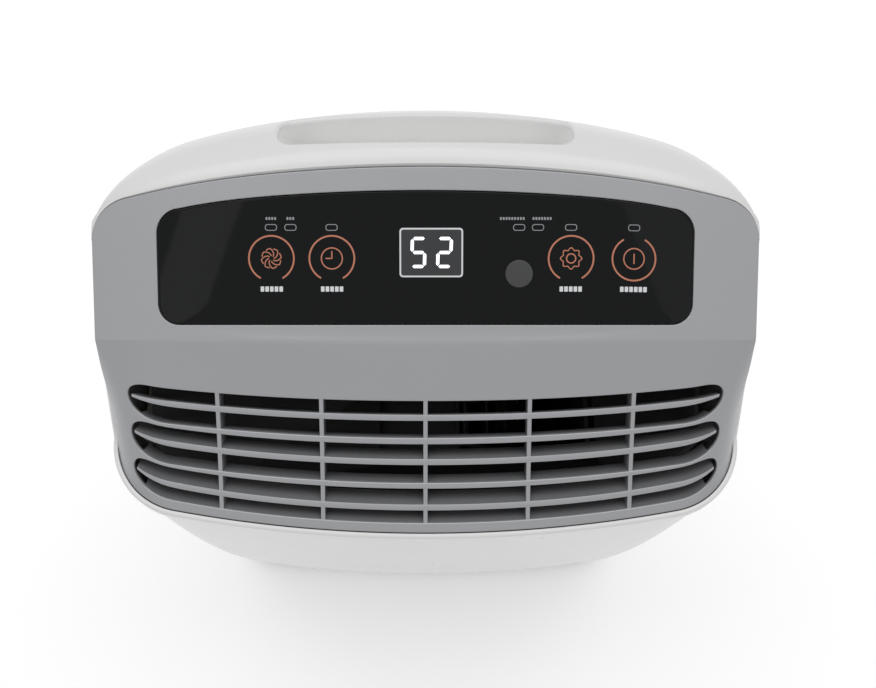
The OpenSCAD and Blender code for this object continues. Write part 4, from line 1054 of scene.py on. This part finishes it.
LOOKS = {
    "dark_plastic": surface_look("dark_plastic_moulded", (0.035, 0.035, 0.038), 0.5, grain=1800, bump=0.12),
    "grey_plastic": surface_look("grey_plastic_moulded", (0.42, 0.43, 0.44), 0.5, grain=1600, bump=0.1),
    "cream_plastic": surface_look("cream_plastic_moulded", (0.74, 0.71, 0.63), 0.45, grain=1600, bump=0.08),
    "tank_lid_grey": surface_look("tank_lid_plastic", (0.62, 0.63, 0.64), 0.42, grain=1500, bump=0.08),
    "float_foam": surface_look("float_foam_cells", (0.8, 0.8, 0.77), 0.85, grain=420, bump=0.5),
    "rubber": surface_look("black_rubber", (0.02, 0.02, 0.02), 0.75, grain=1200, bump=0.25),
    "steel": surface_look("zinc_plated_steel", (0.62, 0.62, 0.60), 0.3, metal=1.0, grain=900, bump=0.05),
    "motor_zinc": surface_look("motor_case_zinc", (0.5, 0.51, 0.52), 0.38, metal=1.0, grain=700, bump=0.1),
    "compressor_black": surface_look("compressor_enamel", (0.012, 0.012, 0.013), 0.28, grain=260, bump=0.12,
                                     coat=0.4),
    "aluminium_fins": surface_look("fin_aluminium", (0.74, 0.77, 0.80), 0.32, metal=1.0, grain=600, bump=0.06,
                                   stretch=(1, 1, 0.1)),
    "copper": surface_look("drawn_copper", (0.72, 0.33, 0.18), 0.3, metal=1.0, grain=500, bump=0.06,
                           tint=0.1),
    "spring_steel": surface_look("spring_steel_bright", (0.72, 0.66, 0.5), 0.25, metal=1.0),
    "circuit_green": surface_look("circuit_laminate", (0.02, 0.16, 0.06), 0.35, grain=1500, bump=0.1),
    "cable_black": surface_look("cable_sleeve", (0.015, 0.015, 0.016), 0.6, grain=1500, bump=0.2),
    "led_white": surface_look("led_frame_white", (0.75, 0.75, 0.72), 0.5),
    "display_dark": display_dark,
    "silver_mask": mask_silver,
    "white_shell": shell_white,
    "black_lens": lens_black,
    "sensor_grey": sensor_grey,
    "filter_net": net_look(),
    "tank_smoke": smoke_look(),
}
DUCT_NODES = ("outlet_duct", "scroll_rear", "scroll_front")
SLOT_OF = {p["node"]: p["material_slot"] for p in frame["record"]["subparts"]}
for node, ob in frame["nodes"].items():
    if ob.hide_render:
        continue
    look = duct_dark if node in DUCT_NODES else LOOKS[SLOT_OF[node]]
    for k in range(len(ob.data.materials)):
        ob.data.materials[k] = look

# ---------------------------------------------------------------- floor, light, camera, in metres and watts
FLOOR_HALF, FLOOR_GLOW, WORLD_GLOW = 6, 0.20, 0.56
FOCAL_MM, SENSOR_MM, SHIFT = 39.041096, 36, 0.01426941
EYE, LOOK_DOWN = (0, -0.1861, 0.796), math.radians(68)

mesh = bpy.data.meshes.new("floor")
mesh.from_pydata([(-FLOOR_HALF, -FLOOR_HALF, 0), (FLOOR_HALF, -FLOOR_HALF, 0), (FLOOR_HALF, FLOOR_HALF, 0),
                  (-FLOOR_HALF, FLOOR_HALF, 0)], [], [(0, 1, 2, 3)])
floor = bpy.data.objects.new("studio_floor", mesh)
scene.collection.objects.link(floor)
paper = surface_look("studio_floor_white", (0.985, 0.985, 0.985), 0.75, grain=30, bump=0.01, tint=0.004)
paper.node_tree.nodes["Principled BSDF"].inputs["Emission Color"].default_value = (1, 1, 1, 1)
paper.node_tree.nodes["Principled BSDF"].inputs["Emission Strength"].default_value = FLOOR_GLOW
mesh.materials.append(paper)

world = bpy.data.worlds.new("studio")
scene.world = world
world.use_nodes = True
world.node_tree.nodes["Background"].inputs["Color"].default_value = (1, 1, 1, 1)
world.node_tree.nodes["Background"].inputs["Strength"].default_value = WORLD_GLOW


def area(name, at, look_at, size, power):
    data = bpy.data.lights.new(name, "AREA")
    data.shape = "RECTANGLE"
    data.size, data.size_y = size
    data.energy = power
    ob = bpy.data.objects.new(name, data)
    ob.location = at
    ob.rotation_euler = (Vector(look_at) - Vector(at)).to_track_quat("-Z", "Y").to_euler()
    scene.collection.objects.link(ob)


area("softbox_overhead", (0, 0.45, 2.3), (0, 0.1, 0), (2.6, 1.2), 19)
area("strip_left", (-0.80, -0.87, 1.77), (0, 0, 0.38), (0.22, 1.3), 0.5)
area("strip_right", (0.95, -0.87, 1.77), (0, 0, 0.38), (0.30, 1.3), 0.35)

camera = bpy.data.cameras.new("photo_camera")
camera.sensor_width = SENSOR_MM
camera.lens = FOCAL_MM
camera.shift_x = SHIFT
camera.clip_start = 0.01
eye = bpy.data.objects.new("photo_camera", camera)
eye.location = EYE
aim = Vector((0, math.cos(LOOK_DOWN), -math.sin(LOOK_DOWN)))
eye.rotation_euler = aim.to_track_quat("-Z", "Y").to_euler()
scene.collection.objects.link(eye)
scene.camera = eye
scene.view_settings.view_transform = "Standard"
